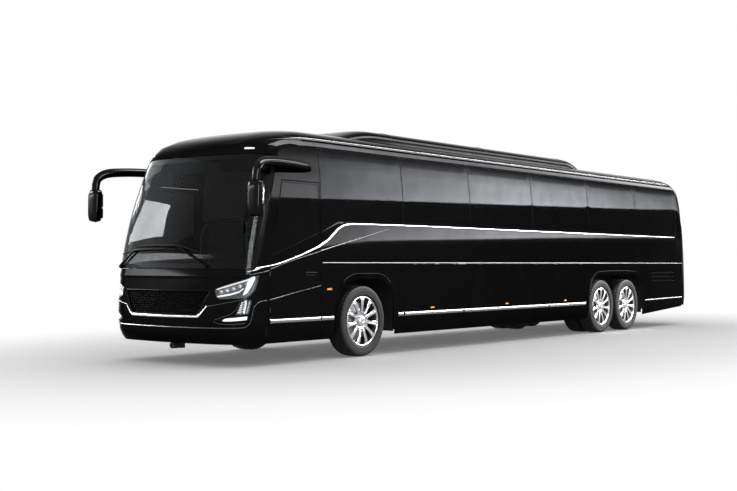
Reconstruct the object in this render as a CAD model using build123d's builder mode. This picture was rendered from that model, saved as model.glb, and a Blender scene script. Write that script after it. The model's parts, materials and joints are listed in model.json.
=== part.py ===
from build123d import *
import math
import os

os.makedirs("parts", exist_ok=True)

# Three-axle coach. Millimetres, +Z up, ground at z = 0, front towards -Y,
# driver's side towards +X. The origin is the bottom centre of the whole vehicle.

# Overall sizes
LENGTH = 14620
HALF_WIDTH = 1275
FRONT_OVERHANG = 2800
WHEELBASE = 7630
TAG_SPACING = 1140
SKIRT_Z = 300
BODY_WALL = 45
GLASS = 8
SEAM = 8
SEAT_GAP = 0.3

# Wheels and axles
TYRE_R = 522
TYRE_W = 300
RIM_R = 365
RIM_WALL = 18
SPOKES = 11
SPINDLE_R = 45
RUN_FIT = 0.05
WHEEL_X = 1095
TWIN_PITCH = 335
KINGPIN_X = 900
KINGPIN_R = 20
KINGPIN_LENGTH = 200
EYE_R = 45
ARCH_TOP = 1215
ARCH_CORNER = 480

# Floor levels and frame
DECK_Z = 1220
DECK_T = 40
DECK_X = 1215
COCKPIT_Z = 800
HOLD_FLOOR_Z = 360
RAIL_X = 420
RAIL_W = 80

# Body openings, measured rearwards from the front axle
DOOR_FRONT = -2045
DOOR_REAR = -990
DOOR_TOP = 2500
FRONT_ARCH = (-670, 770)
REAR_ARCH = (6990, 9500)
HOLD_SEAMS = (967, 2614, 5439, 6900)
FLAP_TOP = 1370
BELT_Z = 1950
CANT_Z = 3020
GLASS_SEAMS = (984, 2865, 4916, 7078, 9184)
GLASS_END = 11230
PILLAR = 110

# Hinges
HINGE_R = 7
PIN_R = 3.5
HINGE_OFF = 8
HINGE_BITE = 5
HINGE_HALF = 30
HINGE_END = 20
HINGE_PLAY = 1.5
HINGE_LEAF = 30
DOOR_HINGE_Z = (750, 1230)
LID_HINGE_X = 250

# Tail: engine lid, rear window, lamps, and the skirt that rises behind the rear wheels
LID_HALF = 850
LID_Z = (560, 1700)
LID_SLOTS = (9, 640, 60, 24)
LID_SLOT_EDGE = 120
LID_SLOT_MID = 60
REAR_GLASS_HALF = 950
REAR_GLASS_Z = (1950, 2850)
REAR_CUT = 11480
TAIL_DEPTH = 60
TAIL_RISE = (9500, 435)
TAIL_LAMP_X = 1090
TAIL_LAMP_Z = 1150
TAIL_LAMP_BOX = (180, 500, 620)

# Side louvres behind the rear wheels: first and last s, rows of (low, high) z
LOUVRE_S = (9900, 11050)
LOUVRE_ROWS = ((1000, 1045), (1085, 1130), (1170, 1215))

NOSE_Y = -LENGTH / 2
AXLE_F = NOSE_Y + FRONT_OVERHANG
AXLE_D = AXLE_F + WHEELBASE
AXLE_T = AXLE_D + TAG_SPACING
TAIL_Y = LENGTH / 2

# Body sections: height, half width, nose set back, tail set back
BODY_ROWS = [
    (SKIRT_Z, 1255, 110, 110),
    (450, 1268, 35, 25),
    (650, HALF_WIDTH, 0, 0),
    (1350, HALF_WIDTH, 55, 30),
    (BELT_Z, 1270, 190, 80),
    (2500, 1240, 380, 140),
    (2850, 1195, 520, 180),
    (3030, 1150, 680, 240),
    (3160, 1060, 980, 400),
    (3250, 850, 1400, 720),
    (3300, 450, 1900, 1320),
]
NOSE_CORNER = (345, 520)
NOSE_BOW = 90
TAIL_CORNER = (220, 200)
TAIL_BOW = 30


def at(s):
    """Y of a point s behind the front axle."""
    return AXLE_F + s


def inset_rows(wall):
    """The body rows moved inwards by a wall, square to the cross section."""
    rows = []
    for i, (z, half, nose, tail) in enumerate(BODY_ROWS):
        below = BODY_ROWS[max(i - 1, 0)]
        above = BODY_ROWS[min(i + 1, len(BODY_ROWS) - 1)]
        rise, lean = above[0] - below[0], above[1] - below[1]
        size = math.hypot(rise, lean)
        drop = wall * -lean / size
        if i == 0:
            drop = wall
        rows.append((z - drop, half - wall * rise / size, nose + wall, tail + wall))
    return rows


def outline(z, half, nose, tail):
    """Plan outline of the body at one height, of lines and arcs."""
    front_y, rear_y = NOSE_Y + nose, TAIL_Y - tail
    bow_x, tail_x = half - NOSE_CORNER[0], half - TAIL_CORNER[0]
    sag = NOSE_BOW * (bow_x / (HALF_WIDTH - NOSE_CORNER[0])) ** 2
    rear_sag = TAIL_BOW * (tail_x / (HALF_WIDTH - TAIL_CORNER[0])) ** 2
    side_f = front_y + sag + NOSE_CORNER[1] - NOSE_BOW
    side_r = rear_y - rear_sag - TAIL_CORNER[1]
    with BuildSketch(Plane.XY.offset(z)) as plan:
        with BuildLine():
            ThreePointArc((-bow_x, front_y + sag), (0, front_y), (bow_x, front_y + sag))
            TangentArc((half, side_f), (bow_x, front_y + sag), tangent=(0, -1))
            Line((half, side_f), (half, side_r))
            TangentArc((half, side_r), (tail_x, rear_y - rear_sag), tangent=(0, 1))
            ThreePointArc((tail_x, rear_y - rear_sag), (0, rear_y), (-tail_x, rear_y - rear_sag))
            TangentArc((-half, side_r), (-tail_x, rear_y - rear_sag), tangent=(0, 1))
            Line((-half, side_r), (-half, side_f))
            TangentArc((-half, side_f), (-bow_x, front_y + sag), tangent=(0, -1))
        make_face()
    return plan.sketch


def envelope(rows):
    """Closed solid through the plan outlines."""
    with BuildPart() as block:
        loft(sections=[outline(*row) for row in rows], ruled=True)
    return block.part


def prism_side(points, x_from, x_to):
    """Solid with a side-view outline, points given as (Y, Z)."""
    with BuildPart() as block:
        with BuildSketch(Plane.YZ.offset(x_from)):
            with BuildLine():
                Polyline(*points, close=True)
            make_face()
        extrude(amount=x_to - x_from)
    return block.part


def slab(x, y, z):
    """Plain block between two corners, each argument a (low, high) pair."""
    with BuildPart() as block:
        with Locations(((x[0] + x[1]) / 2, (y[0] + y[1]) / 2, (z[0] + z[1]) / 2)):
            Box(x[1] - x[0], y[1] - y[0], z[1] - z[0])
    return block.part


def arch(span, x_from, x_to):
    """Wheel opening with round upper corners."""
    low, high = at(span[0]), at(span[1])
    with BuildPart() as block:
        with BuildSketch(Plane.YZ.offset(x_from)):
            with BuildLine():
                FilletPolyline(
                    (low, 0), (low, ARCH_TOP), (high, ARCH_TOP), (high, 0), radius=ARCH_CORNER
                )
                Line((high, 0), (low, 0))
            make_face()
        extrude(amount=x_to - x_from)
    return block.part


def row_at(z):
    """Half width, nose and tail set back at one height, between the body rows."""
    for low, high in zip(BODY_ROWS, BODY_ROWS[1:]):
        if low[0] <= z <= high[0]:
            share = (z - low[0]) / (high[0] - low[0])
            return [a + share * (b - a) for a, b in zip(low[1:], high[1:])]


def hinge_half(origin, along, toward, outward, moving):
    """One half of a pin hinge: the sleeve of a door, or the pin and lugs that hold it.

    along is the pin, toward points into the door, outward out of the skin.
    """
    plane = Plane(origin=origin, x_dir=toward, z_dir=along)
    sink = -1 if plane.y_dir.dot(Vector(*outward)) > 0 else 1
    end = HINGE_HALF + HINGE_END
    if moving:
        stretches, leaf = [(-HINGE_HALF, HINGE_HALF)], (0, HINGE_LEAF)
    else:
        play = HINGE_HALF + HINGE_PLAY
        stretches, leaf = [(-end, -play), (play, end)], (-HINGE_LEAF, -HINGE_PLAY)
    with BuildPart() as half:
        for low, high in stretches:
            with BuildSketch(plane.offset(low)):
                Circle(HINGE_R)
                with Locations(((leaf[0] + leaf[1]) / 2, sink * (HINGE_OFF + HINGE_BITE) / 2)):
                    Rectangle(leaf[1] - leaf[0], HINGE_OFF + HINGE_BITE)
            extrude(amount=high - low)
        if moving:
            with BuildSketch(plane.offset(-end)):
                Circle(PIN_R + RUN_FIT)
            extrude(amount=2 * end, mode=Mode.SUBTRACT)
        else:
            with BuildSketch(plane.offset(-end)):
                Circle(PIN_R)
            extrude(amount=2 * end)
    return half.part


def door_hinges(side, moving):
    """The two hinges at the front edge of a side door."""
    x = side * (HALF_WIDTH + HINGE_OFF)
    with BuildPart() as pair:
        for z in DOOR_HINGE_Z:
            add(hinge_half((x, at(DOOR_FRONT), z), (0, 0, 1), (0, 1, 0), (side, 0, 0), moving))
    return pair.part


def flap_hinges(side, front, rear, moving):
    """The two hinges at the top edge of a luggage flap."""
    x = side * (HALF_WIDTH + HINGE_OFF)
    inset = (rear - front) / 6
    with BuildPart() as pair:
        for s in (front + inset, rear - inset):
            place = (x, at(s), FLAP_TOP - SEAM)
            add(hinge_half(place, (0, 1, 0), (0, 0, -1), (side, 0, 0), moving))
    return pair.part


def lid_hinges(moving):
    """The two hinges at the top edge of the engine lid."""
    y = TAIL_Y - row_at(LID_Z[1])[2] + HINGE_OFF
    with BuildPart() as pair:
        for x in (-LID_HINGE_X, LID_HINGE_X):
            add(hinge_half((x, y, LID_Z[1]), (1, 0, 0), (0, 0, -1), (0, 1, 0), moving))
    return pair.part


def write(block, name):
    """Label a finished piece and save it."""
    block.part.label = name
    export_step(block.part, f"parts/{name}.step")


FAR = 1500
OUTER = envelope(BODY_ROWS)
INNER = envelope(inset_rows(BODY_WALL))
GLASS_INNER = envelope(inset_rows(GLASS))

with BuildPart() as shell:
    add(OUTER)
    add(INNER, mode=Mode.SUBTRACT)
with BuildPart() as skin:
    add(OUTER)
    add(GLASS_INNER, mode=Mode.SUBTRACT)

# Side-view zones
SCREEN_BASE = 1300
SCREEN_TOP = 2850
SCREEN_EDGE = (-2270, -1820)
MASK_CUT = -2100
PAST = 1000
roof_zone = prism_side(
    [(NOSE_Y - PAST, SCREEN_TOP), (at(-1900), SCREEN_TOP), (at(-1000), CANT_Z),
     (TAIL_Y + PAST, CANT_Z), (TAIL_Y + PAST, 4000), (NOSE_Y - PAST, 4000)], -FAR, FAR)
screen_zone = prism_side(
    [(NOSE_Y - PAST, SCREEN_BASE), (at(SCREEN_EDGE[0]), SCREEN_BASE),
     (at(SCREEN_EDGE[1]), SCREEN_TOP), (NOSE_Y - PAST, SCREEN_TOP)], -FAR, FAR)
mask_zone = prism_side(
    [(NOSE_Y - PAST, 0), (at(MASK_CUT), 0), (at(MASK_CUT), SCREEN_BASE),
     (NOSE_Y - PAST, SCREEN_BASE)], -FAR, FAR)
rear_zone = prism_side(
    [(at(REAR_CUT), 0), (TAIL_Y + PAST, 0), (TAIL_Y + PAST, CANT_Z), (at(REAR_CUT), CANT_Z)],
    -FAR, FAR)

tail_rise = prism_side(
    [(at(TAIL_RISE[0]), SKIRT_Z - PAST), (at(TAIL_RISE[0]), SKIRT_Z), (TAIL_Y, TAIL_RISE[1]),
     (TAIL_Y + PAST, TAIL_RISE[1]), (TAIL_Y + PAST, SKIRT_Z - PAST)], -FAR, FAR)

# Roof and windscreen
with BuildPart() as roof_shell:
    add(shell.part)
    add(roof_zone, mode=Mode.INTERSECT)
write(roof_shell, "roof_shell")

with BuildPart() as windshield:
    add(skin.part)
    add(screen_zone, mode=Mode.INTERSECT)
write(windshield, "windshield")

# Roof pod, its rear end lower than its front
POD_HALF = 820
POD_S = (-300, 7900)
POD_TOP = 3470
POD_SLOPE = (900, 700)
with BuildPart() as roof_pod:
    for z, grow in ((3200, 0), (POD_TOP, 1)):
        with BuildSketch(Plane.XY.offset(z)):
            with Locations((0, (at(POD_S[0]) + at(POD_S[1]) + grow * (POD_SLOPE[0] - POD_SLOPE[1])) / 2)):
                RectangleRounded(
                    2 * POD_HALF - 240 * grow,
                    POD_S[1] - POD_S[0] - grow * (POD_SLOPE[0] + POD_SLOPE[1]), 150)
    loft(ruled=True)
    add(OUTER, mode=Mode.SUBTRACT)
write(roof_pod, "roof_pod")

# Front mask with grille opening and lamp pockets
GRILLE_X = (840, 650)
GRILLE_Z = (1010, 690)


def front_prism(points):
    """Front-view outline carried through the nose, points given as (X, Z)."""
    with BuildPart() as block:
        with BuildSketch(Plane.XZ.offset(-at(MASK_CUT))):
            with BuildLine():
                Polyline(*points, close=True)
            make_face()
        extrude(amount=PAST)
    return block.part


grille_zone = front_prism(
    [(-GRILLE_X[0], GRILLE_Z[0]), (-GRILLE_X[1], GRILLE_Z[1]), (GRILLE_X[1], GRILLE_Z[1]),
     (GRILLE_X[0], GRILLE_Z[0])])
LAMP_POINTS = [(860, 900), (1010, 925), (1180, 1170), (900, 1010)]
FOG_POINTS = [(960, 590), (1140, 600), (1190, 830), (1090, 800)]


def lamp_pair(points):
    """The same front-view outline on both sides of the nose."""
    with BuildPart() as block:
        for side in (-1, 1):
            add(front_prism([(side * x, z) for x, z in points]))
    return block.part


head_zone = lamp_pair(LAMP_POINTS)
fog_zone = lamp_pair(FOG_POINTS)

with BuildPart() as front_mask:
    add(shell.part)
    add(mask_zone, mode=Mode.INTERSECT)
    add(grille_zone, mode=Mode.SUBTRACT)
    add(head_zone, mode=Mode.SUBTRACT)
    add(fog_zone, mode=Mode.SUBTRACT)
write(front_mask, "front_mask")

with BuildPart() as front_lamps:
    add(shell.part)
    with BuildPart(mode=Mode.PRIVATE) as lamp_zones:
        add(head_zone)
        add(fog_zone)
    add(lamp_zones.part, mode=Mode.INTERSECT)
write(front_lamps, "front_lamps")

# Grille plate pierced by staggered rows of slots
SLOT_ROWS = 8
SLOT_PITCH = (118, 36)
SLOT_SIZE = (96, 22)
with BuildPart() as grille:
    add(skin.part)
    add(grille_zone, mode=Mode.INTERSECT)
    with BuildSketch(Plane.XZ.offset(-at(MASK_CUT))):
        for row in range(SLOT_ROWS):
            z = GRILLE_Z[1] + SLOT_PITCH[1] * (row + 1)
            share = (z - SLOT_SIZE[1] - GRILLE_Z[1]) / (GRILLE_Z[0] - GRILLE_Z[1])
            reach = GRILLE_X[1] + share * (GRILLE_X[0] - GRILLE_X[1]) - SLOT_SIZE[0]
            stagger = SLOT_PITCH[0] / 2 * (row % 2)
            half_count = int((reach - stagger) // SLOT_PITCH[0])
            for column in range(-half_count - row % 2, half_count + 1):
                with Locations((column * SLOT_PITCH[0] + stagger, z)):
                    Rectangle(*SLOT_SIZE)
    extrude(amount=PAST, mode=Mode.SUBTRACT)
write(grille, "grille")

# Doors beside the driver, the same on both sides
DOOR_POINTS = [
    (at(DOOR_FRONT), 0), (at(DOOR_REAR), 0), (at(DOOR_REAR), DOOR_TOP),
    (at(DOOR_FRONT + 290), DOOR_TOP), (at(DOOR_FRONT), 1300)]
DOOR_LITE = [
    (at(-1930), 1480), (at(-1070), 1800), (at(-1070), 2430), (at(-1690), 2430)]


def side_cut(points, gap, x_from, x_to):
    """Solid of a grown side-view outline between two X positions."""
    with BuildPart() as block:
        with BuildSketch(Plane.YZ.offset(x_from)):
            with BuildLine():
                Polyline(*points, close=True)
            make_face()
            if gap:
                offset(amount=gap, kind=Kind.INTERSECTION)
        extrude(amount=x_to - x_from)
    return block.part


SIDES = {"left": 1, "right": -1}
DOOR_NAMES = {"left": "driver_door", "right": "entrance_door"}
IN_X = 900


def span(side):
    """X range of one side of the body."""
    return (IN_X, FAR) if side > 0 else (-FAR, -IN_X)


for side_name, side in SIDES.items():
    low, high = span(side)
    with BuildPart() as door:
        add(shell.part)
        add(side_cut(DOOR_POINTS, 0, low, high), mode=Mode.INTERSECT)
        add(side_cut(DOOR_LITE, 0, low, high), mode=Mode.SUBTRACT)
        add(door_hinges(side, True))
    write(door, DOOR_NAMES[side_name])
    with BuildPart() as lite:
        add(skin.part)
        add(side_cut(DOOR_LITE, 0, low, high), mode=Mode.INTERSECT)
    write(lite, DOOR_NAMES[side_name] + "_glass")

# Luggage flaps
flap_bays = list(zip(HOLD_SEAMS, HOLD_SEAMS[1:]))
for side_name, side in SIDES.items():
    low, high = span(side)
    for number, (front, rear) in enumerate(flap_bays, 1):
        with BuildPart() as flap:
            add(shell.part)
            add(slab((low, high), (at(front) + SEAM / 2, at(rear) - SEAM / 2), (0, FLAP_TOP - SEAM)),
                mode=Mode.INTERSECT)
            add(flap_hinges(side, front, rear, True))
        write(flap, f"luggage_flap_{side_name}_{number}")

# Side walls with their windows
WINDOW_POINTS = [
    (at(DOOR_REAR + 40), 1800), (at(-560), BELT_Z), (at(GLASS_END), BELT_Z),
    (at(GLASS_END), CANT_Z - 15), (at(DOOR_REAR + 40), CANT_Z - 15)]
LITE_MARGIN = 45

for side_name, side in SIDES.items():
    low, high = span(side)
    with BuildPart() as band:
        add(skin.part)
        add(side_cut(WINDOW_POINTS, 0, low, high), mode=Mode.INTERSECT)
    with BuildPart() as side_panel:
        add(shell.part)
        add(slab((low, high), (NOSE_Y - PAST, TAIL_Y + PAST), (0, 4000)), mode=Mode.INTERSECT)
        for zone in (roof_zone, screen_zone, mask_zone, rear_zone):
            add(zone, mode=Mode.SUBTRACT)
        add(side_cut(DOOR_POINTS, SEAM, low, high), mode=Mode.SUBTRACT)
        hold_y = (at(HOLD_SEAMS[0]) - SEAM / 2, at(HOLD_SEAMS[-1]) + SEAM / 2)
        add(slab((low, high), hold_y, (0, FLAP_TOP)), mode=Mode.SUBTRACT)
        add(arch(FRONT_ARCH, low, high), mode=Mode.SUBTRACT)
        add(arch(REAR_ARCH, low, high), mode=Mode.SUBTRACT)
        add(band.part, mode=Mode.SUBTRACT)
        add(tail_rise, mode=Mode.SUBTRACT)
        for louvre_z in LOUVRE_ROWS:
            add(slab((low, high), (at(LOUVRE_S[0]), at(LOUVRE_S[1])), louvre_z), mode=Mode.SUBTRACT)
        edges_s = (DOOR_REAR + 40,) + GLASS_SEAMS + (GLASS_END,)
        for front, rear in zip(edges_s, edges_s[1:]):
            sill = BELT_Z if front > -560 else BELT_Z + 20
            add(slab((low, high), (at(front) + PILLAR / 2, at(rear) - PILLAR / 2),
                     (sill + LITE_MARGIN, CANT_Z - 15 - LITE_MARGIN)), mode=Mode.SUBTRACT)
        add(door_hinges(side, False))
        for front, rear in flap_bays:
            add(flap_hinges(side, front, rear, False))
    write(side_panel, f"side_panel_{side_name}")
    with BuildPart() as side_glass:
        add(band.part)
        for seam in GLASS_SEAMS:
            add(slab((low, high), (at(seam) - SEAM / 2, at(seam) + SEAM / 2), (1000, 4000)),
                mode=Mode.SUBTRACT)
    write(side_glass, f"side_glass_{side_name}")

# Tail
tail_y = (at(REAR_CUT) + TAIL_DEPTH, TAIL_Y + PAST)
lamp_places = [
    (side * TAIL_LAMP_X, at(REAR_CUT) + TAIL_LAMP_BOX[1] / 2, TAIL_LAMP_Z) for side in (-1, 1)]
with BuildPart() as rear_panel:
    add(shell.part)
    add(rear_zone, mode=Mode.INTERSECT)
    add(tail_rise, mode=Mode.SUBTRACT)
    add(slab((-LID_HALF - SEAM, LID_HALF + SEAM), tail_y, (LID_Z[0] - SEAM, LID_Z[1] + SEAM)),
        mode=Mode.SUBTRACT)
    add(slab((-REAR_GLASS_HALF, REAR_GLASS_HALF), tail_y, REAR_GLASS_Z), mode=Mode.SUBTRACT)
    with Locations(*lamp_places):
        Box(*TAIL_LAMP_BOX, mode=Mode.SUBTRACT)
    add(lid_hinges(False))
write(rear_panel, "rear_panel")

with BuildPart() as engine_lid:
    add(shell.part)
    add(slab((-LID_HALF, LID_HALF), tail_y, LID_Z), mode=Mode.INTERSECT)
    count, first_z, step, height = LID_SLOTS
    for row in range(count):
        for x_from, x_to in ((-LID_HALF + LID_SLOT_EDGE, -LID_SLOT_MID),
                             (LID_SLOT_MID, LID_HALF - LID_SLOT_EDGE)):
            z = first_z + row * step
            add(slab((x_from, x_to), tail_y, (z, z + height)), mode=Mode.SUBTRACT)
    add(lid_hinges(True))
write(engine_lid, "engine_lid")

with BuildPart() as rear_glass:
    add(skin.part)
    add(slab((-REAR_GLASS_HALF, REAR_GLASS_HALF), tail_y, REAR_GLASS_Z), mode=Mode.INTERSECT)
write(rear_glass, "rear_glass")

with BuildPart() as tail_lamps:
    add(shell.part)
    with BuildPart(mode=Mode.PRIVATE) as pockets:
        with Locations(*lamp_places):
            Box(*TAIL_LAMP_BOX)
    add(pockets.part, mode=Mode.INTERSECT)
write(tail_lamps, "tail_lamps")

# Frame: main rails under the deck, a low frame at the cockpit and one under the hold
FRAME_END = 11200
FRONT_FRAME_S = (-2500, -800)
FRONT_FRAME_Z = (500, COCKPIT_Z)
HOLD_FRAME_S = (810, 6960)
UPPER_RAIL_Z = (1120, DECK_Z)
END_POST_Z = 340
POST = 60
CROSS = 60
CROSS_H = 100
END_CROSS_H = 80
UPPER_CROSS_S = (-400, 400, 2000, 4000, 6000, 8200, 9900)
FRONT_CROSS_S = (-2460, -1500)
HOLD_CROSS_S = (1500, 3000, 4500, 6000)
JACK_S = -1700
JACK_PAD = (100, 140, 12)


def rail_x(side):
    """X range of one frame rail."""
    return sorted((side * (RAIL_X - RAIL_W / 2), side * (RAIL_X + RAIL_W / 2)))


def cross_members(places, height):
    """Cross members between the rails, each centred on a place behind the front axle."""
    with BuildPart() as bars:
        for s in places:
            add(slab((-RAIL_X, RAIL_X), (at(s) - CROSS / 2, at(s) + CROSS / 2), height))
    return bars.part


with BuildPart() as chassis_frame:
    for side in (-1, 1):
        add(slab(rail_x(side), (at(FRONT_FRAME_S[1]) - POST, at(FRAME_END)), UPPER_RAIL_Z))
        add(slab(rail_x(side), (at(FRAME_END) - POST, at(FRAME_END)), (END_POST_Z, DECK_Z)))
    add(cross_members(UPPER_CROSS_S + (FRAME_END - CROSS / 2,), UPPER_RAIL_Z))
    add(cross_members((FRAME_END - CROSS / 2,), (END_POST_Z, END_POST_Z + END_CROSS_H)))
write(chassis_frame, "chassis_frame")

with BuildPart() as front_frame:
    for side in (-1, 1):
        add(slab(rail_x(side), (at(FRONT_FRAME_S[0]), at(FRONT_FRAME_S[1])), FRONT_FRAME_Z))
        add(slab(rail_x(side), (at(FRONT_FRAME_S[1]) - POST, at(FRONT_FRAME_S[1])),
                 (FRONT_FRAME_Z[0], UPPER_RAIL_Z[0])))
        jack_y = (at(JACK_S) - JACK_PAD[1] / 2, at(JACK_S) + JACK_PAD[1] / 2)
        jack_x = (side * RAIL_X - JACK_PAD[0] / 2, side * RAIL_X + JACK_PAD[0] / 2)
        add(slab(jack_x, jack_y, (FRONT_FRAME_Z[0] - JACK_PAD[2], FRONT_FRAME_Z[0])))
    add(cross_members(FRONT_CROSS_S + (FRONT_FRAME_S[1] - CROSS / 2,),
                      (FRONT_FRAME_Z[0], FRONT_FRAME_Z[0] + CROSS_H)))
write(front_frame, "front_frame")

with BuildPart() as hold_frame:
    for side in (-1, 1):
        add(slab(rail_x(side), (at(HOLD_FRAME_S[0]), at(HOLD_FRAME_S[1])), (SKIRT_Z, HOLD_FLOOR_Z)))
        for s in HOLD_FRAME_S:
            add(slab(rail_x(side), (at(s) - POST / 3, at(s) + POST / 3), (SKIRT_Z, UPPER_RAIL_Z[0])))
    add(cross_members(HOLD_CROSS_S, (SKIRT_Z, HOLD_FLOOR_Z)))
write(hold_frame, "hold_frame")

# Towing sockets: the front one hangs from a bracket below the front cross member
TOW_R = 20
TOW_LENGTH = 120
TOW_BOSS_R = 42
TOW_Z = (255, 375)
TOW_BRACKET = (120, 70, 40)
with BuildPart() as tow_sockets:
    add(slab((-TOW_BRACKET[0] / 2, TOW_BRACKET[0] / 2),
             (at(FRONT_FRAME_S[0]), at(FRONT_FRAME_S[0]) + TOW_BRACKET[1]),
             (TOW_Z[0] - TOW_BRACKET[2], FRONT_FRAME_Z[0])))
    for s, face, z in ((FRONT_FRAME_S[0], -1, TOW_Z[0]), (FRAME_END, 1, TOW_Z[1])):
        with BuildSketch(Plane(origin=(0, at(s), z), z_dir=(0, face, 0))):
            Circle(TOW_BOSS_R)
            Circle(TOW_R, mode=Mode.SUBTRACT)
        extrude(amount=TOW_LENGTH)
write(tow_sockets, "tow_sockets")

# Passenger deck, cockpit floor and entrance steps
STEP_X = (-1200, -900, -600)
STEP_Z = (360, 580)
STEP_S = (-1990, -1040)
TREAD_T = 40
RISER_T = 20
DECK_S = (-860, 11450)
RISER_S = -900
COCKPIT_S = (-2560, -2200)
COCKPIT_NOSE_X = 1000
WALL_GAP = 60
with BuildPart() as floor_deck:
    add(slab((-DECK_X, DECK_X), (at(DECK_S[0]), at(DECK_S[1])), (DECK_Z, DECK_Z + DECK_T)))
    for side in (-1, 1):
        wall = sorted((side * DECK_X, side * (HALF_WIDTH - BODY_WALL)))
        for front, rear in ((DECK_S[0], HOLD_SEAMS[0] - WALL_GAP), (HOLD_SEAMS[-1] + WALL_GAP, DECK_S[1])):
            add(slab(wall, (at(front), at(rear)), (DECK_Z, DECK_Z + DECK_T)))
    add(slab((-DECK_X, DECK_X), (at(RISER_S), at(DECK_S[0])), (COCKPIT_Z, DECK_Z + DECK_T)))
    for half, front in zip((COCKPIT_NOSE_X, DECK_X), COCKPIT_S):
        add(slab((-half, half), (at(front), at(RISER_S)), (COCKPIT_Z, COCKPIT_Z + DECK_T)))
    add(slab((STEP_X[0] - 50, STEP_X[2]), (at(STEP_S[0]), at(STEP_S[1])), (0, COCKPIT_Z + DECK_T + PAST)),
        mode=Mode.SUBTRACT)
    for x_from, x_to, z_from, z_to in (
        (STEP_X[0], STEP_X[1], STEP_Z[0], STEP_Z[0] + TREAD_T),
        (STEP_X[1] - RISER_T, STEP_X[1], STEP_Z[0], STEP_Z[1] + TREAD_T),
        (STEP_X[1] - RISER_T, STEP_X[2], STEP_Z[1], STEP_Z[1] + TREAD_T),
        (STEP_X[2] - RISER_T, STEP_X[2], STEP_Z[1], COCKPIT_Z + DECK_T),
    ):
        add(slab((x_from, x_to), (at(STEP_S[0]), at(STEP_S[1])), (z_from, z_to)))
write(floor_deck, "floor_deck")

# Luggage hold
HOLD_X = 1200
HOLD_S = (850, 6920)
HOLD_WALL = 30
with BuildPart() as luggage_hold:
    add(slab((-HOLD_X, HOLD_X), (at(HOLD_S[0]), at(HOLD_S[1])), (HOLD_FLOOR_Z, HOLD_FLOOR_Z + HOLD_WALL)))
    for s in (HOLD_S[0], HOLD_S[1] - HOLD_WALL):
        add(slab((-HOLD_X, HOLD_X), (at(s), at(s) + HOLD_WALL), (HOLD_FLOOR_Z, UPPER_RAIL_Z[0])))
write(luggage_hold, "luggage_hold")

# Wheel arch liners
LINER_T = 12
LINER_X = (500, 1205)
LINER_FOOT_Z = 340
AXLE_SLOT = (150, 120)
with BuildPart() as arch_liners:
    for side in (-1, 1):
        for front, rear in (FRONT_ARCH, REAR_ARCH):
            xs = sorted((side * LINER_X[0], side * LINER_X[1]))
            add(slab(xs, (at(front) - LINER_T, at(rear) + LINER_T), (LINER_FOOT_Z, DECK_Z)))
            cut = sorted((side * (LINER_X[0] + LINER_T), side * (LINER_X[1] + LINER_T)))
            add(slab(cut, (at(front), at(rear)), (0, DECK_Z - LINER_T)), mode=Mode.SUBTRACT)
        for y in (AXLE_F, AXLE_D, AXLE_T):
            hole = sorted((side * (LINER_X[0] - 10), side * (LINER_X[0] + 2 * LINER_T)))
            add(slab(hole, (y - AXLE_SLOT[0], y + AXLE_SLOT[0]), (0, TYRE_R + AXLE_SLOT[1])),
                mode=Mode.SUBTRACT)
write(arch_liners, "arch_liners")

# Axles
BEAM_HALF = 35
BEAM_Z = (TYRE_R - 60, TYRE_R + 60)
CASE_HALF = 60
SPRING_R = 75
SPRING_Z = (TYRE_R + 50, UPPER_RAIL_Z[0])
SPINDLE_OUT = 60
DIFF_R = 190
LINK_HALF = 40
with BuildPart() as front_axle:
    add(slab((-KINGPIN_X, KINGPIN_X), (AXLE_F - BEAM_HALF, AXLE_F + BEAM_HALF), BEAM_Z))
    for side in (-1, 1):
        with Locations((side * KINGPIN_X, AXLE_F, TYRE_R)):
            Cylinder(EYE_R, BEAM_Z[1] - BEAM_Z[0])
            Cylinder(KINGPIN_R + RUN_FIT, KINGPIN_LENGTH, mode=Mode.SUBTRACT)
        with Locations((side * RAIL_X, AXLE_F, sum(SPRING_Z) / 2)):
            Cylinder(SPRING_R, SPRING_Z[1] - SPRING_Z[0])
write(front_axle, "front_axle")

with BuildPart() as rear_axles:
    for y, x_end in ((AXLE_D, 560), (AXLE_T, 900)):
        add(slab((-x_end, x_end), (y - CASE_HALF, y + CASE_HALF), BEAM_Z))
        for side in (-1, 1):
            with BuildSketch(Plane(origin=(side * (x_end - 10), y, TYRE_R), z_dir=(side, 0, 0))):
                Circle(SPINDLE_R)
            extrude(amount=WHEEL_X + SPINDLE_OUT - x_end)
            with Locations((side * RAIL_X, y, sum(SPRING_Z) / 2)):
                Cylinder(SPRING_R, SPRING_Z[1] - SPRING_Z[0])
    with Locations((0, AXLE_D, TYRE_R)):
        Sphere(DIFF_R)
    add(slab((-LINK_HALF, LINK_HALF), (AXLE_D, AXLE_T), (TYRE_R - LINK_HALF, TYRE_R + LINK_HALF)))
write(rear_axles, "rear_axles")

ENGINE_X = 360
ENGINE_S = (9980, FRAME_END - 90)
ENGINE_Z = (430, 1110)
HANGER_S = (10100, 11000)
HANGER = 80
with BuildPart() as engine_block:
    add(slab((-ENGINE_X, ENGINE_X), (at(ENGINE_S[0]), at(ENGINE_S[1])), ENGINE_Z))
    for s in HANGER_S:
        add(slab((-RAIL_X, RAIL_X), (at(s) - HANGER / 2, at(s) + HANGER / 2),
                 (UPPER_RAIL_Z[0] - HANGER, UPPER_RAIL_Z[0])))
write(engine_block, "engine_block")

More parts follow.
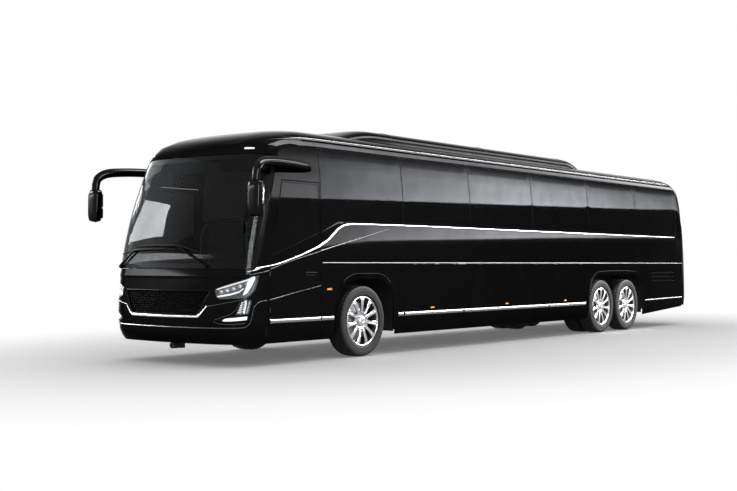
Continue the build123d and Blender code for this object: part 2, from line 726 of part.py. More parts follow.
# Steering knuckles
FORK = 5.5
FORK_Z = (TYRE_R - 100, TYRE_R + 100)
FORK_X = (KINGPIN_X - 40, KINGPIN_X + 85)
FLANGE_T = 30
BITE = 5
for side_name, side in SIDES.items():
    with BuildPart() as knuckle:
        for z_from, z_to in ((FORK_Z[0], BEAM_Z[0] - FORK), (BEAM_Z[1] + FORK, FORK_Z[1])):
            xs = sorted((side * FORK_X[0], side * FORK_X[1]))
            add(slab(xs, (AXLE_F - 40, AXLE_F + 40), (z_from, z_to)))
        with Locations((side * KINGPIN_X, AXLE_F, TYRE_R)):
            Cylinder(KINGPIN_R, KINGPIN_LENGTH)
        xs = sorted((side * (FORK_X[1] - FLANGE_T), side * FORK_X[1]))
        add(slab(xs, (AXLE_F - CASE_HALF, AXLE_F + CASE_HALF), FORK_Z))
        with BuildSketch(Plane(origin=(side * (FORK_X[1] - BITE), AXLE_F, TYRE_R), z_dir=(side, 0, 0))):
            Circle(SPINDLE_R)
        extrude(amount=WHEEL_X + SPINDLE_OUT - FORK_X[1] + BITE)
    write(knuckle, f"knuckle_{side_name}")

# Wheels: name, axle Y, inner tyre as well
WHEELS = [("front", AXLE_F, False), ("drive", AXLE_D, True), ("tag", AXLE_T, False)]
HUB_R = 110


def wheel_plane(side, y):
    """Half-section plane: local x runs outwards along the axle, local y is the radius."""
    return Plane(origin=(0, y, TYRE_R), x_dir=(side, 0, 0), z_dir=(0, -side, 0))


def tyre_section(side, y, x_mid):
    """Half section of a tyre, across its width and out from its axle."""
    half = TYRE_W / 2
    foot = RIM_R + SEAT_GAP
    with BuildSketch(wheel_plane(side, y)) as section:
        with BuildLine():
            FilletPolyline(
                (x_mid - half + 12, foot), (x_mid - half, RIM_R + 60),
                (x_mid - half, TYRE_R - 12), (x_mid - half + 30, TYRE_R),
                (x_mid + half - 30, TYRE_R), (x_mid + half, TYRE_R - 12),
                (x_mid + half, RIM_R + 60), (x_mid + half - 12, foot), radius=11)
            Line((x_mid + half - 12, foot), (x_mid - half + 12, foot))
        make_face()
    return section.sketch


with BuildSketch() as window_sketch:
    with BuildLine():
        Polyline((HUB_R + 30, -16), (RIM_R - 45, -66), (RIM_R - 45, 66), (HUB_R + 30, 16), close=True)
    make_face()
spoke_window = window_sketch.sketch

for side_name, side in SIDES.items():
    for name, y, twin in WHEELS:
        mids = [WHEEL_X, WHEEL_X - TWIN_PITCH] if twin else [WHEEL_X]
        axis = Axis((0, y, TYRE_R), (1, 0, 0))
        with BuildPart() as tyre:
            for mid in mids:
                revolve(tyre_section(side, y, mid), axis=axis)
        write(tyre, f"{name}_tyre_{side_name}")
        with BuildPart() as rim:
            for mid in mids:
                with BuildSketch(wheel_plane(side, y)):
                    with Locations((mid, RIM_R - RIM_WALL / 2)):
                        Rectangle(TYRE_W - 24, RIM_WALL)
                revolve(axis=axis)
            with BuildSketch(wheel_plane(side, y)):
                with BuildLine():
                    Polyline(
                        (WHEEL_X + 15, SPINDLE_R + RUN_FIT), (WHEEL_X + 120, SPINDLE_R + RUN_FIT),
                        (WHEEL_X + 120, HUB_R), (WHEEL_X + 95, HUB_R + 10),
                        (WHEEL_X + 130, RIM_R - RIM_WALL + 1), (WHEEL_X + 90, RIM_R - RIM_WALL + 1),
                        (WHEEL_X + 60, HUB_R + 10), (WHEEL_X + 15, HUB_R), close=True)
                make_face()
            revolve(axis=axis)
            with BuildSketch(Plane(origin=(side * WHEEL_X, y, TYRE_R), z_dir=(side, 0, 0))):
                with PolarLocations(0, SPOKES):
                    add(spoke_window)
            extrude(amount=200, mode=Mode.SUBTRACT)
            if twin:
                with BuildSketch(wheel_plane(side, y)):
                    with BuildLine():
                        x_in = WHEEL_X - TWIN_PITCH
                        Polyline((x_in + 60, SPINDLE_R + RUN_FIT), (WHEEL_X + 16, SPINDLE_R + RUN_FIT),
                                 (WHEEL_X + 16, HUB_R), (x_in + 100, HUB_R),
                                 (x_in + 100, RIM_R - RIM_WALL + 1), (x_in + 80, RIM_R - RIM_WALL + 1),
                                 (x_in + 80, HUB_R), (x_in + 60, HUB_R), close=True)
                    make_face()
                revolve(axis=axis)
        write(rim, f"{name}_rim_{side_name}")

# Mirrors on curved arms
ARM_R = 42
ARM_ROUTE = [(1150, -1230, 2700), (1300, -1300, 2705), (1470, -2300, 2700), (1600, -2630, 2620),
             (1600, -2640, 2380)]
MIRROR_BOX = (190, 150, 430)
MIRROR_AT = (1600, -2640, 2195)
with BuildPart() as mirrors:
    for side in (-1, 1):
        with BuildLine() as route:
            FilletPolyline(*[(side * x, at(s), z) for x, s, z in ARM_ROUTE],
                           radius=[90, 200, 120])
        with BuildSketch(Plane(origin=route.line @ 0, z_dir=route.line % 0)):
            Circle(ARM_R)
        sweep(path=route.line)
        with Locations((side * MIRROR_AT[0], at(MIRROR_AT[1]), MIRROR_AT[2])):
            Box(*MIRROR_BOX)
    add(OUTER, mode=Mode.SUBTRACT)
    fillet(mirrors.edges().filter_by(Axis.Z).filter_by_position(Axis.Z, 2100, 2300), 45)
write(mirrors, "mirrors")

# Wipers: two straight blades lying on the screen
with BuildPart() as wipers:
    for x_from, x_to in ((-950, -60), (60, 950)):
        with BuildSketch(Plane.YZ.offset(x_from)):
            with Locations((at(-2700), 1340)):
                Rectangle(120, 40)
        extrude(amount=x_to - x_from)
    add(OUTER, mode=Mode.SUBTRACT)
write(wipers, "wipers")

# Cockpit
COLUMN_FOOT = (620, at(-2080), 1080)
COLUMN_TILT = (0, 0.5, 0.866)
COLUMN_LENGTH = 200
WHEEL_RIM_R = 225
with BuildPart() as dashboard:
    add(prism_side([(at(-2480), COCKPIT_Z + DECK_T), (at(-2080), COCKPIT_Z + DECK_T), (at(-2000), 1150),
                    (at(-2120), 1240), (at(-2480), 1240)], -500, 1000))
    with BuildSketch(Plane(origin=COLUMN_FOOT, z_dir=COLUMN_TILT)):
        Circle(28)
    extrude(amount=COLUMN_LENGTH)
write(dashboard, "dashboard")

with BuildPart() as steering_wheel:
    with BuildSketch(Plane(origin=COLUMN_FOOT, z_dir=COLUMN_TILT).offset(COLUMN_LENGTH + SEAT_GAP)):
        Circle(WHEEL_RIM_R)
        Circle(WHEEL_RIM_R - 30, mode=Mode.SUBTRACT)
        Circle(60)
        for turn in (0, 60, 120):
            with Locations(Location((0, 0, 0), (0, 0, turn))):
                Rectangle(2 * WHEEL_RIM_R - 20, 30)
    extrude(amount=30)
write(steering_wheel, "steering_wheel")

# Seats: cushion on a pedestal, back standing on the cushion
SEAT_PITCH = 800
SEAT_ROWS = 14
SEAT_FIRST = -150
SEAT_X = (260, 1180)
with BuildPart() as seat_cushions:
    for side in (-1, 1):
        for row in range(SEAT_ROWS):
            s = SEAT_FIRST + row * SEAT_PITCH
            xs = sorted((side * SEAT_X[0], side * SEAT_X[1]))
            mid = sorted((side * (SEAT_X[0] + 200), side * (SEAT_X[1] - 200)))
            add(slab(xs, (at(s), at(s) + 450), (DECK_Z + DECK_T + 330, DECK_Z + DECK_T + 450)))
            add(slab(mid, (at(s) + 120, at(s) + 330), (DECK_Z + DECK_T, DECK_Z + DECK_T + 340)))
    add(slab((380, 860), (at(-1560), at(-1110)), (COCKPIT_Z + DECK_T + 330, COCKPIT_Z + DECK_T + 450)))
    add(slab((500, 740), (at(-1450), at(-1220)), (COCKPIT_Z + DECK_T, COCKPIT_Z + DECK_T + 340)))
write(seat_cushions, "seat_cushions")

with BuildPart() as seat_backs:
    for side in (-1, 1):
        for row in range(SEAT_ROWS):
            s = SEAT_FIRST + row * SEAT_PITCH
            xs = sorted((side * SEAT_X[0], side * SEAT_X[1]))
            low, high = xs
            z = DECK_Z + DECK_T + 450 + SEAT_GAP
            add(prism_side([(at(s) + 340, z), (at(s) + 450, z), (at(s) + 600, z + 720),
                            (at(s) + 500, z + 720)], low, high))
    z = COCKPIT_Z + DECK_T + 450 + SEAT_GAP
    add(prism_side([(at(-1230), z), (at(-1120), z), (at(-990), z + 700), (at(-1090), z + 700)], 380, 860))
write(seat_backs, "seat_backs")
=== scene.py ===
import json
import math

import bmesh
import bpy
import numpy as np
from mathutils import Matrix, Vector
from mathutils.geometry import delaunay_2d_cdt


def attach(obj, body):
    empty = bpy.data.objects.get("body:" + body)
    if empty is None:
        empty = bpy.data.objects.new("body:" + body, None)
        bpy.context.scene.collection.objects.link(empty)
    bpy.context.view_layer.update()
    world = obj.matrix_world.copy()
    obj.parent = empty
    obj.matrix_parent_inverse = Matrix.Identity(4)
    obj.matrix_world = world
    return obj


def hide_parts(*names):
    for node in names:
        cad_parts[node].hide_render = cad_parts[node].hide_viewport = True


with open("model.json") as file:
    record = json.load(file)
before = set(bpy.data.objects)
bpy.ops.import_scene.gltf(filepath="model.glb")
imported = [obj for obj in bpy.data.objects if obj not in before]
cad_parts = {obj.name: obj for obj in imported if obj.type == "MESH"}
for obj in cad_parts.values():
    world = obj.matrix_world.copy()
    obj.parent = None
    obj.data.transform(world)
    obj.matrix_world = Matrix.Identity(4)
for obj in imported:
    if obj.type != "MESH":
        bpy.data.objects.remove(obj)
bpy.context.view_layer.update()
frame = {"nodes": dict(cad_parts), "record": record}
nodes = frame["nodes"]

# Metres, +Z up, front towards -Y, driver's side +X. s is the distance behind the front axle.
LENGTH = 14.62
HALF = 1.275
AXLE_F = -4.51
AXLE_D = AXLE_F + 7.63
AXLE_T = AXLE_D + 1.14
TYRE_R = 0.522
RIM_R = 0.365
WHEEL_X = 1.095
TWIN_PITCH = 0.335
SKIRT_Z = 0.3
BELT_Z = 1.95
CANT_Z = 3.02
SCREEN_BASE = 1.3
SCREEN_TOP = 2.85
MASK_S = -2.1
FRONT_ARCH = (-0.67, 0.77)
REAR_ARCH = (6.99, 9.5)
ARCH_TOP = 1.215
ARCH_R = 0.48
DOOR_S = (-2.045, -0.99)
HOLD_SEAMS = (0.967, 2.614, 5.439, 6.9)
FLAP_TOP = 1.37
GLASS_SEAMS = (-0.95, 0.984, 2.865, 4.916, 7.078, 9.184, 11.23)
REAR_CUT = 11.48
TAIL_RISE = (9.5, 0.435)
GAP = 0.004


def at(s):
    """Y of a point s behind the front axle."""
    return AXLE_F + s


# Body surface: height, half width, nose set back, tail set back
BODY_ROWS = np.array([
    (0.300, 1.255, 0.110, 0.110), (0.450, 1.268, 0.035, 0.025), (0.650, 1.275, 0.000, 0.000),
    (1.350, 1.275, 0.055, 0.030), (1.950, 1.270, 0.190, 0.080), (2.500, 1.240, 0.380, 0.140),
    (2.850, 1.195, 0.520, 0.180), (3.030, 1.150, 0.680, 0.240), (3.160, 1.060, 0.980, 0.400),
    (3.250, 0.850, 1.400, 0.720), (3.300, 0.450, 1.900, 1.320),
])


def smooth_curve(xs, ys):
    """Monotone cubic through points, so that the body shows no waves between its rows."""
    gaps, rise = np.diff(xs), np.diff(ys) / np.diff(xs)
    slope = np.zeros(len(xs))
    slope[0], slope[-1] = rise[0], rise[-1]
    for i in range(1, len(xs) - 1):
        if rise[i - 1] * rise[i] > 0:
            w1, w2 = 2 * gaps[i] + gaps[i - 1], gaps[i] + 2 * gaps[i - 1]
            slope[i] = (w1 + w2) / (w1 / rise[i - 1] + w2 / rise[i])

    def value(x):
        x = np.clip(np.asarray(x, float), xs[0], xs[-1])
        i = np.clip(np.searchsorted(xs, x, side="right") - 1, 0, len(gaps) - 1)
        g = gaps[i]
        t = (x - xs[i]) / g
        return ((1 + 2 * t) * (1 - t) ** 2 * ys[i] + t * (1 - t) ** 2 * g * slope[i]
                + t * t * (3 - 2 * t) * ys[i + 1] + t * t * (t - 1) * g * slope[i + 1])

    return value


# b runs up the body's section, a along its plan outline, both close to metres on the walls
ROW_B = np.concatenate(([0.0], np.cumsum(np.hypot(np.diff(BODY_ROWS[:, 0]), np.diff(BODY_ROWS[:, 1])))))
B_END = ROW_B[-1]
row_z, row_half, row_nose, row_tail = (smooth_curve(ROW_B, BODY_ROWS[:, k]) for k in range(4))
B_TABLE = np.linspace(0, B_END, 4000)
Z_TABLE = row_z(B_TABLE)

NOSE_CORNER = (0.345, 0.430)
TAIL_CORNER = (0.220, 0.200)
NOSE_SAG, NOSE_BOW_X = 0.09, 0.93
TAIL_SAG, TAIL_BOW_X = 0.03, 1.055


def corner_arc(width, depth):
    """Radius and turn of the arc that leaves the side square and ends width in, depth along."""
    radius = (width ** 2 + depth ** 2) / (2 * width)
    return radius, math.asin(depth / radius)


NOSE_R, NOSE_TURN = corner_arc(*NOSE_CORNER)
TAIL_R, TAIL_TURN = corner_arc(*TAIL_CORNER)
SIDE_LEN = LENGTH - NOSE_SAG - NOSE_CORNER[1] - TAIL_SAG - TAIL_CORNER[1]
A_KNOTS = np.cumsum([0, NOSE_BOW_X, NOSE_R * NOSE_TURN, SIDE_LEN, TAIL_R * TAIL_TURN, TAIL_BOW_X])
A_END = A_KNOTS[-1]


def section(b):
    """Plan values of the body at height b: half width, bow widths, and where the straight side runs."""
    half, nose, tail = row_half(b), row_nose(b), row_tail(b)
    bow, rear_bow = half - NOSE_CORNER[0], half - TAIL_CORNER[0]
    front_y, rear_y = -LENGTH / 2 + nose, LENGTH / 2 - tail
    sag = NOSE_SAG * (bow / NOSE_BOW_X) ** 2
    rear_sag = TAIL_SAG * (rear_bow / TAIL_BOW_X) ** 2
    side = (front_y + sag + NOSE_CORNER[1], rear_y - rear_sag - TAIL_CORNER[1])
    return half, bow, rear_bow, front_y, rear_y, sag, rear_sag, side


def body_point(a, b):
    """Point of the smooth body surface. Negative a, and a past the end, are the -X side."""
    a, b = np.broadcast_arrays(np.asarray(a, float), np.asarray(b, float))
    sign = np.where((a < 0) | (a > A_END), -1.0, 1.0)
    a = np.where(a < 0, -a, np.where(a > A_END, 2 * A_END - a, a))
    half, bow, rear_bow, front_y, rear_y, sag, rear_sag, (side_f, side_r) = section(b)
    u = [np.clip((a - A_KNOTS[i]) / (A_KNOTS[i + 1] - A_KNOTS[i]), 0, 1) for i in range(5)]
    turn_f, turn_r = NOSE_TURN * (1 - u[1]), TAIL_TURN * u[3]
    xs = [u[0] * bow, half - NOSE_R * (1 - np.cos(turn_f)), half,
          half - TAIL_R * (1 - np.cos(turn_r)), rear_bow * (1 - u[4])]
    ys = [front_y + sag * u[0] ** 2, side_f - NOSE_R * np.sin(turn_f), side_f + u[2] * (side_r - side_f),
          side_r + TAIL_R * np.sin(turn_r), rear_y - rear_sag * (1 - u[4]) ** 2]
    part = np.clip(np.searchsorted(A_KNOTS, a, side="right") - 1, 0, 4)
    return np.stack([sign * np.choose(part, xs), np.choose(part, ys), row_z(b)], -1)


def height_b(z):
    """b of a height."""
    return np.interp(z, Z_TABLE, B_TABLE)


def side_at(s, z):
    """(a, b) of a point seen from the driver's side, s behind the front axle and z high."""
    b = float(height_b(z))
    *_, (side_f, side_r) = section(b)
    y = at(s)
    if y < side_f:
        turn = math.asin(min((side_f - y) / NOSE_R, math.sin(NOSE_TURN)))
        return float(A_KNOTS[1] + (A_KNOTS[2] - A_KNOTS[1]) * (1 - turn / NOSE_TURN)), b
    if y > side_r:
        turn = math.asin(min((y - side_r) / TAIL_R, math.sin(TAIL_TURN)))
        return float(A_KNOTS[3] + (A_KNOTS[4] - A_KNOTS[3]) * turn / TAIL_TURN), b
    return float(A_KNOTS[2] + SIDE_LEN * (y - side_f) / (side_r - side_f)), b


def front_at(x, z):
    """(a, b) of a point seen from the front. Negative x gives the -X side."""
    b = float(height_b(z))
    half, bow = section(b)[:2]
    reach = min(abs(x), half - 0.002)
    if reach <= bow:
        a = NOSE_BOW_X * reach / bow
    else:
        turn = math.acos(1 - (half - reach) / NOSE_R)
        a = A_KNOTS[1] + (A_KNOTS[2] - A_KNOTS[1]) * (1 - turn / NOSE_TURN)
    return (float(a) if x >= 0 else -float(a)), b


def rear_at(x, z):
    """(a, b) of a point seen from behind. Negative x gives the -X side."""
    b = float(height_b(z))
    half, _, bow = section(b)[:3]
    reach = min(abs(x), half - 0.002)
    if reach <= bow:
        a = A_END - TAIL_BOW_X * reach / bow
    else:
        turn = math.acos(1 - (half - reach) / TAIL_R)
        a = A_KNOTS[3] + (A_KNOTS[4] - A_KNOTS[3]) * turn / TAIL_TURN
    return (float(a) if x >= 0 else 2 * A_END - float(a)), b


# Creases and flares that the body sides carry, as offsets along the surface normal
SHOULDER = ([-2.25, -1.0, 0.11, 0.9, 5.9, 11.4], [1.29, 1.46, 1.59, 1.62, 1.76, 1.85])
LOWER_CREASE = ([-2.06, -1.43, -1.0, 0.62, 6.9], [0.88, 0.99, 1.06, 1.06, 1.09])
BELT_LINE = [(-2.26, 1.290), (-2.16, 1.313), (-1.80, 1.387), (-1.42, 1.485), (-1.02, 1.610), (-0.82, 1.706),
             (-0.61, 1.846), (-0.52, 1.893), (-0.42, 1.922), (-0.3, 1.936), (0.2, 1.945), (1.39, 1.952),
             (11.07, 1.945)]
BELT_STEP = ([-0.6, -0.2, 5.0, 11.0], [0.021, 0.0148, 0.013, 0.0105])  # above the belt the side steps in
CREST, CREST_SPREAD = 0.012, 0.22
SHOULDER_LEAN, LEAN_GROWTH, SHOULDER_CURVE, SHOULDER_DEPTH = 0.09, 0.002, 0.105, 0.042
GLASS_SINK = 0.012
FACET = 0.007
BROW_Z = (1.165, 1.2, SCREEN_BASE)
BROW_RISE, CHIN_RISE = 0.0095, 0.010
NORMAL_STEP = 0.003


def share_of(value, start, length):
    """Rises from 0 at start to 1 a length further on; a negative length falls."""
    return np.clip((value - start) / length, 0, 1)


def ease(t):
    """0 to 1 with a soft start and a soft end."""
    t = np.clip(t, 0, 1)
    return t * t * (3 - 2 * t)


def side_relief(s, z):
    """Crest of the shoulder, the step in to the glass, and a shallow facet over the lower crease."""
    above = z - np.interp(s, *SHOULDER)
    below = CREST * np.exp(-(above / CREST_SPREAD) ** 2)
    lean = SHOULDER_LEAN + LEAN_GROWTH * np.clip(s, 0, 12)
    over = np.maximum(CREST - lean * above - SHOULDER_CURVE * above ** 2, -SHOULDER_DEPTH)
    fade = share_of(s, 11.45, -0.25) * share_of(s, -2.3, 0.2)
    offset = np.where(above > 0, over, below) * fade
    belt = np.interp(s, *zip(*BELT_LINE)) + np.interp(s, *BELT_STEP)
    offset = np.where(z > belt, -GLASS_SINK * share_of(z, 2.98, -0.3) * fade, offset)
    low = z - np.interp(s, *LOWER_CREASE)
    facet = np.where(low > 0, -FACET * share_of(low, 0, 0.05) * share_of(low, 0.35, -0.3), 0)
    return offset + facet * np.clip((7.0 - s) / 2.0, 0.25, 1) * share_of(s, 9.9, -0.3)


def front_relief(z):
    """A sloping brow under the windscreen, and a bumper that stands a little forward below."""
    chin = CHIN_RISE * share_of(z, 0.52, -0.06) * share_of(z, 0.31, 0.06)
    return np.interp(z, BROW_Z, (0, BROW_RISE, 0)) + chin


def relief(point):
    """Offset from the smooth body at a point of it."""
    s, z = point[..., 1] - AXLE_F, point[..., 2]
    side_share = ease((s + 2.25) / 0.25)
    offset = side_share * side_relief(s, z) + (1 - side_share) * front_relief(z)
    return np.where(z < 3.0, offset, 0.0)


def unit(vectors, least=1e-9):
    """Vectors brought to length one, along the last axis; shorter ones than the least stay short."""
    return vectors / np.maximum(np.linalg.norm(vectors, axis=-1, keepdims=True), least)


def normals_of(shape, a, b):
    """Unit normals of a surface that is a function of (a, b)."""
    low, high = np.clip(b - NORMAL_STEP, 0, B_END), np.clip(b + NORMAL_STEP, 0, B_END)
    da = shape(a + NORMAL_STEP, b) - shape(a - NORMAL_STEP, b)
    return unit(np.cross(da, shape(a, high) - shape(a, low)))


def skin(a, b):
    """Points of the finished body: the smooth surface with its creases."""
    point = body_point(a, b)
    return point + normals_of(body_point, a, b) * relief(point)[..., None]


def surface(a, b, lift=0.0):
    """Points and outward normals of the finished body, lifted along the normal."""
    a, b = np.broadcast_arrays(np.asarray(a, float), np.asarray(b, float))
    normal = normals_of(skin, a, b)
    return skin(a, b) + normal * np.asarray(lift)[..., None], normal


def surface_at(points, lift=0.0):
    """The same at a list of (a, b)."""
    return surface([p[0] for p in points], [p[1] for p in points], lift)


# Materials
def feed(tree, node, values, links):
    """Sets a node's input values and links outputs into it, both by input name or number."""
    for key, value in values.items():
        node.inputs[key].default_value = value
    for key, output in links.items():
        tree.links.new(output, node.inputs[key])


def add_node(tree, kind, values=(), links=(), result=0, **attributes):
    """A new shader node's output: the first, or the one named as result."""
    node = tree.nodes.new("ShaderNode" + kind)
    for name, value in attributes.items():
        setattr(node, name, value)
    feed(tree, node, dict(values), dict(links))
    return node.outputs[result]


def add_ramp(tree, source, stops):
    """Colour of a ramp with (place, colour) stops, read at a value."""
    colour = add_node(tree, "ValToRGB", links={"Fac": source}, result="Color")
    elements = colour.node.color_ramp.elements
    while len(elements) < len(stops):
        elements.new(1.0)
    for element, (place, value) in zip(elements, stops):
        element.position, element.color = place, (*value, 1)
    return colour


def new_material(name, colour, rough, metallic=0.0, specular=0.5, vary=0.12, rough_vary=0.04,
                 grain=(60.0, 0.0002), alpha=1.0, tint=None, emit=None, wear=0.0, weave=None):
    """Procedural surface: colour variation, uneven roughness and a fine grain, all in object space."""
    material = bpy.data.materials.new(name)
    material.use_nodes = True
    tree = material.node_tree
    where = {"Vector": add_node(tree, "TexCoord", result="Object")}
    cloud = add_node(tree, "TexNoise", {"Scale": 3.5, "Detail": 6}, where, "Fac")
    shade = add_ramp(tree, cloud, [(0.3, [min(c * (1 - vary), 1) for c in colour]),
                                   (0.7, [min(c * (1 + vary), 1) for c in colour])])
    if weave:
        threads = [add_node(tree, "TexWave", {"Scale": weave, "Distortion": 1.5}, where, "Fac",
                            bands_direction=way) for way in "XZ"]
        height = add_node(tree, "Math", links=enumerate(threads), operation="MAXIMUM")
    else:
        height = add_node(tree, "TexNoise", {"Scale": grain[0], "Detail": 4}, where, "Fac")
    if wear:
        edge = {"Value": add_node(tree, "NewGeometry", result="Pointiness")}
        sharp = add_node(tree, "MapRange", {"From Min": 0.52, "From Max": 0.6, "To Max": wear}, edge)
        shade = add_node(tree, "Mix", {"B": (*[min(c * 2.5 + 0.03, 1) for c in colour], 1)},
                         {"Factor": sharp, "A": shade}, "Result", data_type="RGBA")
    limits = {"To Min": max(rough - rough_vary, 0.0), "To Max": rough + rough_vary}
    spread = add_node(tree, "MapRange", limits, {"Value": cloud})
    bump = add_node(tree, "Bump", {"Strength": 0.5, "Distance": grain[1]}, {"Height": height})
    values = {"Metallic": metallic, "Specular IOR Level": specular, "Alpha": alpha}
    if tint:
        values["Specular Tint"] = (tint, tint, tint, 1)
    if emit:
        values.update({"Emission Color": (*emit[:3], 1), "Emission Strength": emit[3]})
    feed(tree, tree.nodes["Principled BSDF"], values,
         {"Base Color": shade, "Roughness": spread, "Normal": bump})
    return material


M = {
    "paint": new_material("gloss_black_paint", (0.0056, 0.0056, 0.0058), 0.055, metallic=1.0, tint=0.5,
                          rough_vary=0.012, grain=(55.0, 0.00002)),
    "satin": new_material("satin_black_trim", (0.012, 0.012, 0.0125), 0.42, specular=0.3, grain=(300.0,
                          0.0002)),
    "gloss_trim": new_material("gloss_black_trim", (0.010, 0.010, 0.0103), 0.12, metallic=1.0, tint=0.5,
                               rough_vary=0.02, grain=(80.0, 0.00005)),
    "tinted": new_material("dark_tinted_glass", (0.0072, 0.0074, 0.0078), 0.03, metallic=1.0, alpha=0.86,
                           tint=0.5, rough_vary=0.008, grain=(6.0, 0.00003)),
    "screen": new_material("screen_glass", (0.012, 0.0125, 0.013), 0.025, metallic=1.0, alpha=0.5, tint=0.55,
                           rough_vary=0.008, grain=(5.0, 0.00003)),
    "chrome": new_material("bright_chrome_trim", (0.66, 0.66, 0.67), 0.12, metallic=1.0, vary=0.03,
                           rough_vary=0.03, grain=(90.0, 0.00004)),
    "silver": new_material("satin_silver_trim", (0.27, 0.27, 0.275), 0.24, metallic=1.0, vary=0.05,
                           grain=(250.0, 0.0001)),
    "line_silver": new_material("dull_silver_line", (0.16, 0.16, 0.163), 0.3, metallic=1.0, vary=0.05,
                                grain=(250.0, 0.0001)),
    # Dark chrome for the thin edge lines; its strip along the door's lower crease is a painted crease
    # highlight, not a trim
    "edge_line": new_material("dark_chrome_edge_and_painted_crease_highlight", (0.11, 0.11, 0.112), 0.22, metallic=1.0, vary=0.05,
                              grain=(250.0, 0.0001)),
    "alloy": new_material("polished_alloy", (0.50, 0.50, 0.51), 0.2, metallic=1.0, vary=0.05, grain=(120.0,
                          0.0001)),
    "alloy_dark": new_material("cast_alloy_barrel", (0.10, 0.10, 0.105), 0.38, metallic=1.0, vary=0.15,
                               grain=(150.0, 0.0004)),
    "rubber": new_material("tyre_rubber", (0.0085, 0.0085, 0.009), 0.62, specular=0.2, vary=0.2, grain=(180.0,
                           0.0006), wear=0.25),
    "seal": new_material("rubber_seal", (0.006, 0.006, 0.006), 0.6, specular=0.2, grain=(200.0, 0.0003)),
    "plastic": new_material("moulded_plastic", (0.022, 0.022, 0.023), 0.5, specular=0.35, grain=(400.0,
                            0.0004)),
    "grille": new_material("grille_plastic", (0.006, 0.006, 0.0063), 0.6, specular=0.012, grain=(200.0,
                           0.0002)),
    "wiper": new_material("wiper_black", (0.005, 0.005, 0.005), 0.5, specular=0.04, grain=(200.0, 0.0002)),
    "lens": new_material("clear_lens", (0.5, 0.52, 0.54), 0.03, alpha=0.14, vary=0.03, rough_vary=0.01,
                         grain=(20.0, 0.0001)),
    "glow": new_material("led_light_guide", (0.85, 0.87, 0.9), 0.25, vary=0.03, grain=(150.0, 0.0004),
                         emit=(0.93, 0.96, 1.0, 0.75)),
    "reflector": new_material("lamp_reflector", (0.7, 0.71, 0.73), 0.14, metallic=1.0, vary=0.08,
                              grain=(140.0, 0.0012)),
    "red_lens": new_material("red_lens", (0.42, 0.008, 0.008), 0.08, grain=(160.0, 0.0012), emit=(0.8, 0.02,
                             0.01, 0.25)),
    "amber": new_material("amber_lens", (0.85, 0.26, 0.02), 0.1, grain=(160.0, 0.0012), emit=(1.0, 0.35, 0.03,
                          0.5)),
    "steel": new_material("underbody_coating", (0.02, 0.02, 0.021), 0.62, specular=0.25, vary=0.3,
                          grain=(45.0, 0.003), wear=0.35),
    "machined": new_material("machined_steel", (0.30, 0.30, 0.31), 0.36, metallic=1.0, vary=0.2, grain=(130.0,
                             0.0004)),
    "floor_board": new_material("cabin_floor", (0.075, 0.077, 0.083), 0.6, specular=0.3, vary=0.25,
                                grain=(220.0, 0.0005)),
    "fabric": new_material("seat_fabric", (0.055, 0.057, 0.063), 0.88, specular=0.2, vary=0.2, grain=(400.0,
                           0.0015), weave=90.0),
    "leather": new_material("headrest_leather", (0.03, 0.03, 0.033), 0.5, specular=0.35, vary=0.2,
                            grain=(170.0, 0.001)),
    "lining": new_material("cabin_lining", (0.16, 0.16, 0.165), 0.8, specular=0.2, grain=(150.0, 0.0008)),
    "mirror": new_material("mirror_glass", (0.72, 0.73, 0.74), 0.02, metallic=1.0, vary=0.02, rough_vary=0.01,
                           grain=(8.0, 0.00003)),
    "lamp_shell": new_material("dark_red_lens", (0.10, 0.004, 0.004), 0.06, alpha=0.55, vary=0.05,
                               rough_vary=0.01, grain=(90.0, 0.0003)),
    "plate": new_material("blank_plate", (0.62, 0.62, 0.6), 0.4, specular=0.4, vary=0.04, grain=(110.0,
                          0.0003)),
}


# Mesh building
class Piece:
    """Collects faces with a normal at every corner and turns them into one object."""

    def __init__(self, name):
        self.name, self.verts, self.faces, self.normals, self.slots = name, [], [], [], []
        self.materials = []

    def slot_of(self, material):
        if material not in self.materials:
            self.materials.append(material)
        return self.materials.index(material)

    def add(self, points, faces, material, normals=None, flip=False):
        """Faces over points. normals, one a point, are smooth shading; without them faces are flat."""
        start, slot = len(self.verts), self.slot_of(material)
        points = np.asarray(points, float).reshape(-1, 3)
        self.verts.extend(map(tuple, points))
        for face in faces:
            face = list(face)[::-1] if flip else list(face)
            if normals is None:
                p = points[face]
                corner = [unit(np.cross(p, np.roll(p, -1, 0)).sum(0), 1e-30)] * len(face)
            else:
                corner = [normals[i] for i in face]
            self.faces.append([start + i for i in face])
            self.normals.extend(corner)
            self.slots.append(slot)

    def mirror(self):
        """Turns the piece into its mirror image on the other side."""
        self.verts = list(np.array(self.verts) * (-1, 1, 1))
        normals = np.array(self.normals) * (-1, 1, 1)
        ends = np.cumsum([len(f) for f in self.faces])
        self.normals = [n for f, end in zip(self.faces, ends) for n in normals[end - len(f):end][::-1]]
        self.faces = [f[::-1] for f in self.faces]

    def take(self, other):
        """Adds the faces of another piece with the same materials."""
        start = len(self.verts)
        self.verts += list(other.verts)
        self.faces += [[start + i for i in face] for face in other.faces]
        self.normals, self.slots = self.normals + other.normals, self.slots + other.slots
        self.materials = other.materials

    def build(self, body="root", replaces=(), slot=None):
        """The finished object, riding on its body."""
        mesh = bpy.data.meshes.new(self.name)
        mesh.from_pydata([tuple(v) for v in self.verts], [], self.faces)
        for material in self.materials:
            mesh.materials.append(M[material])
        mesh.polygons.foreach_set("material_index", self.slots)
        mesh.polygons.foreach_set("use_smooth", [True] * len(self.faces))
        mesh.normals_split_custom_set([tuple(n) for n in self.normals])
        mesh.update()
        obj = bpy.data.objects.new(self.name, mesh)
        bpy.context.scene.collection.objects.link(obj)
        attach(obj, body)
        if replaces:
            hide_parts(*replaces)
        return obj


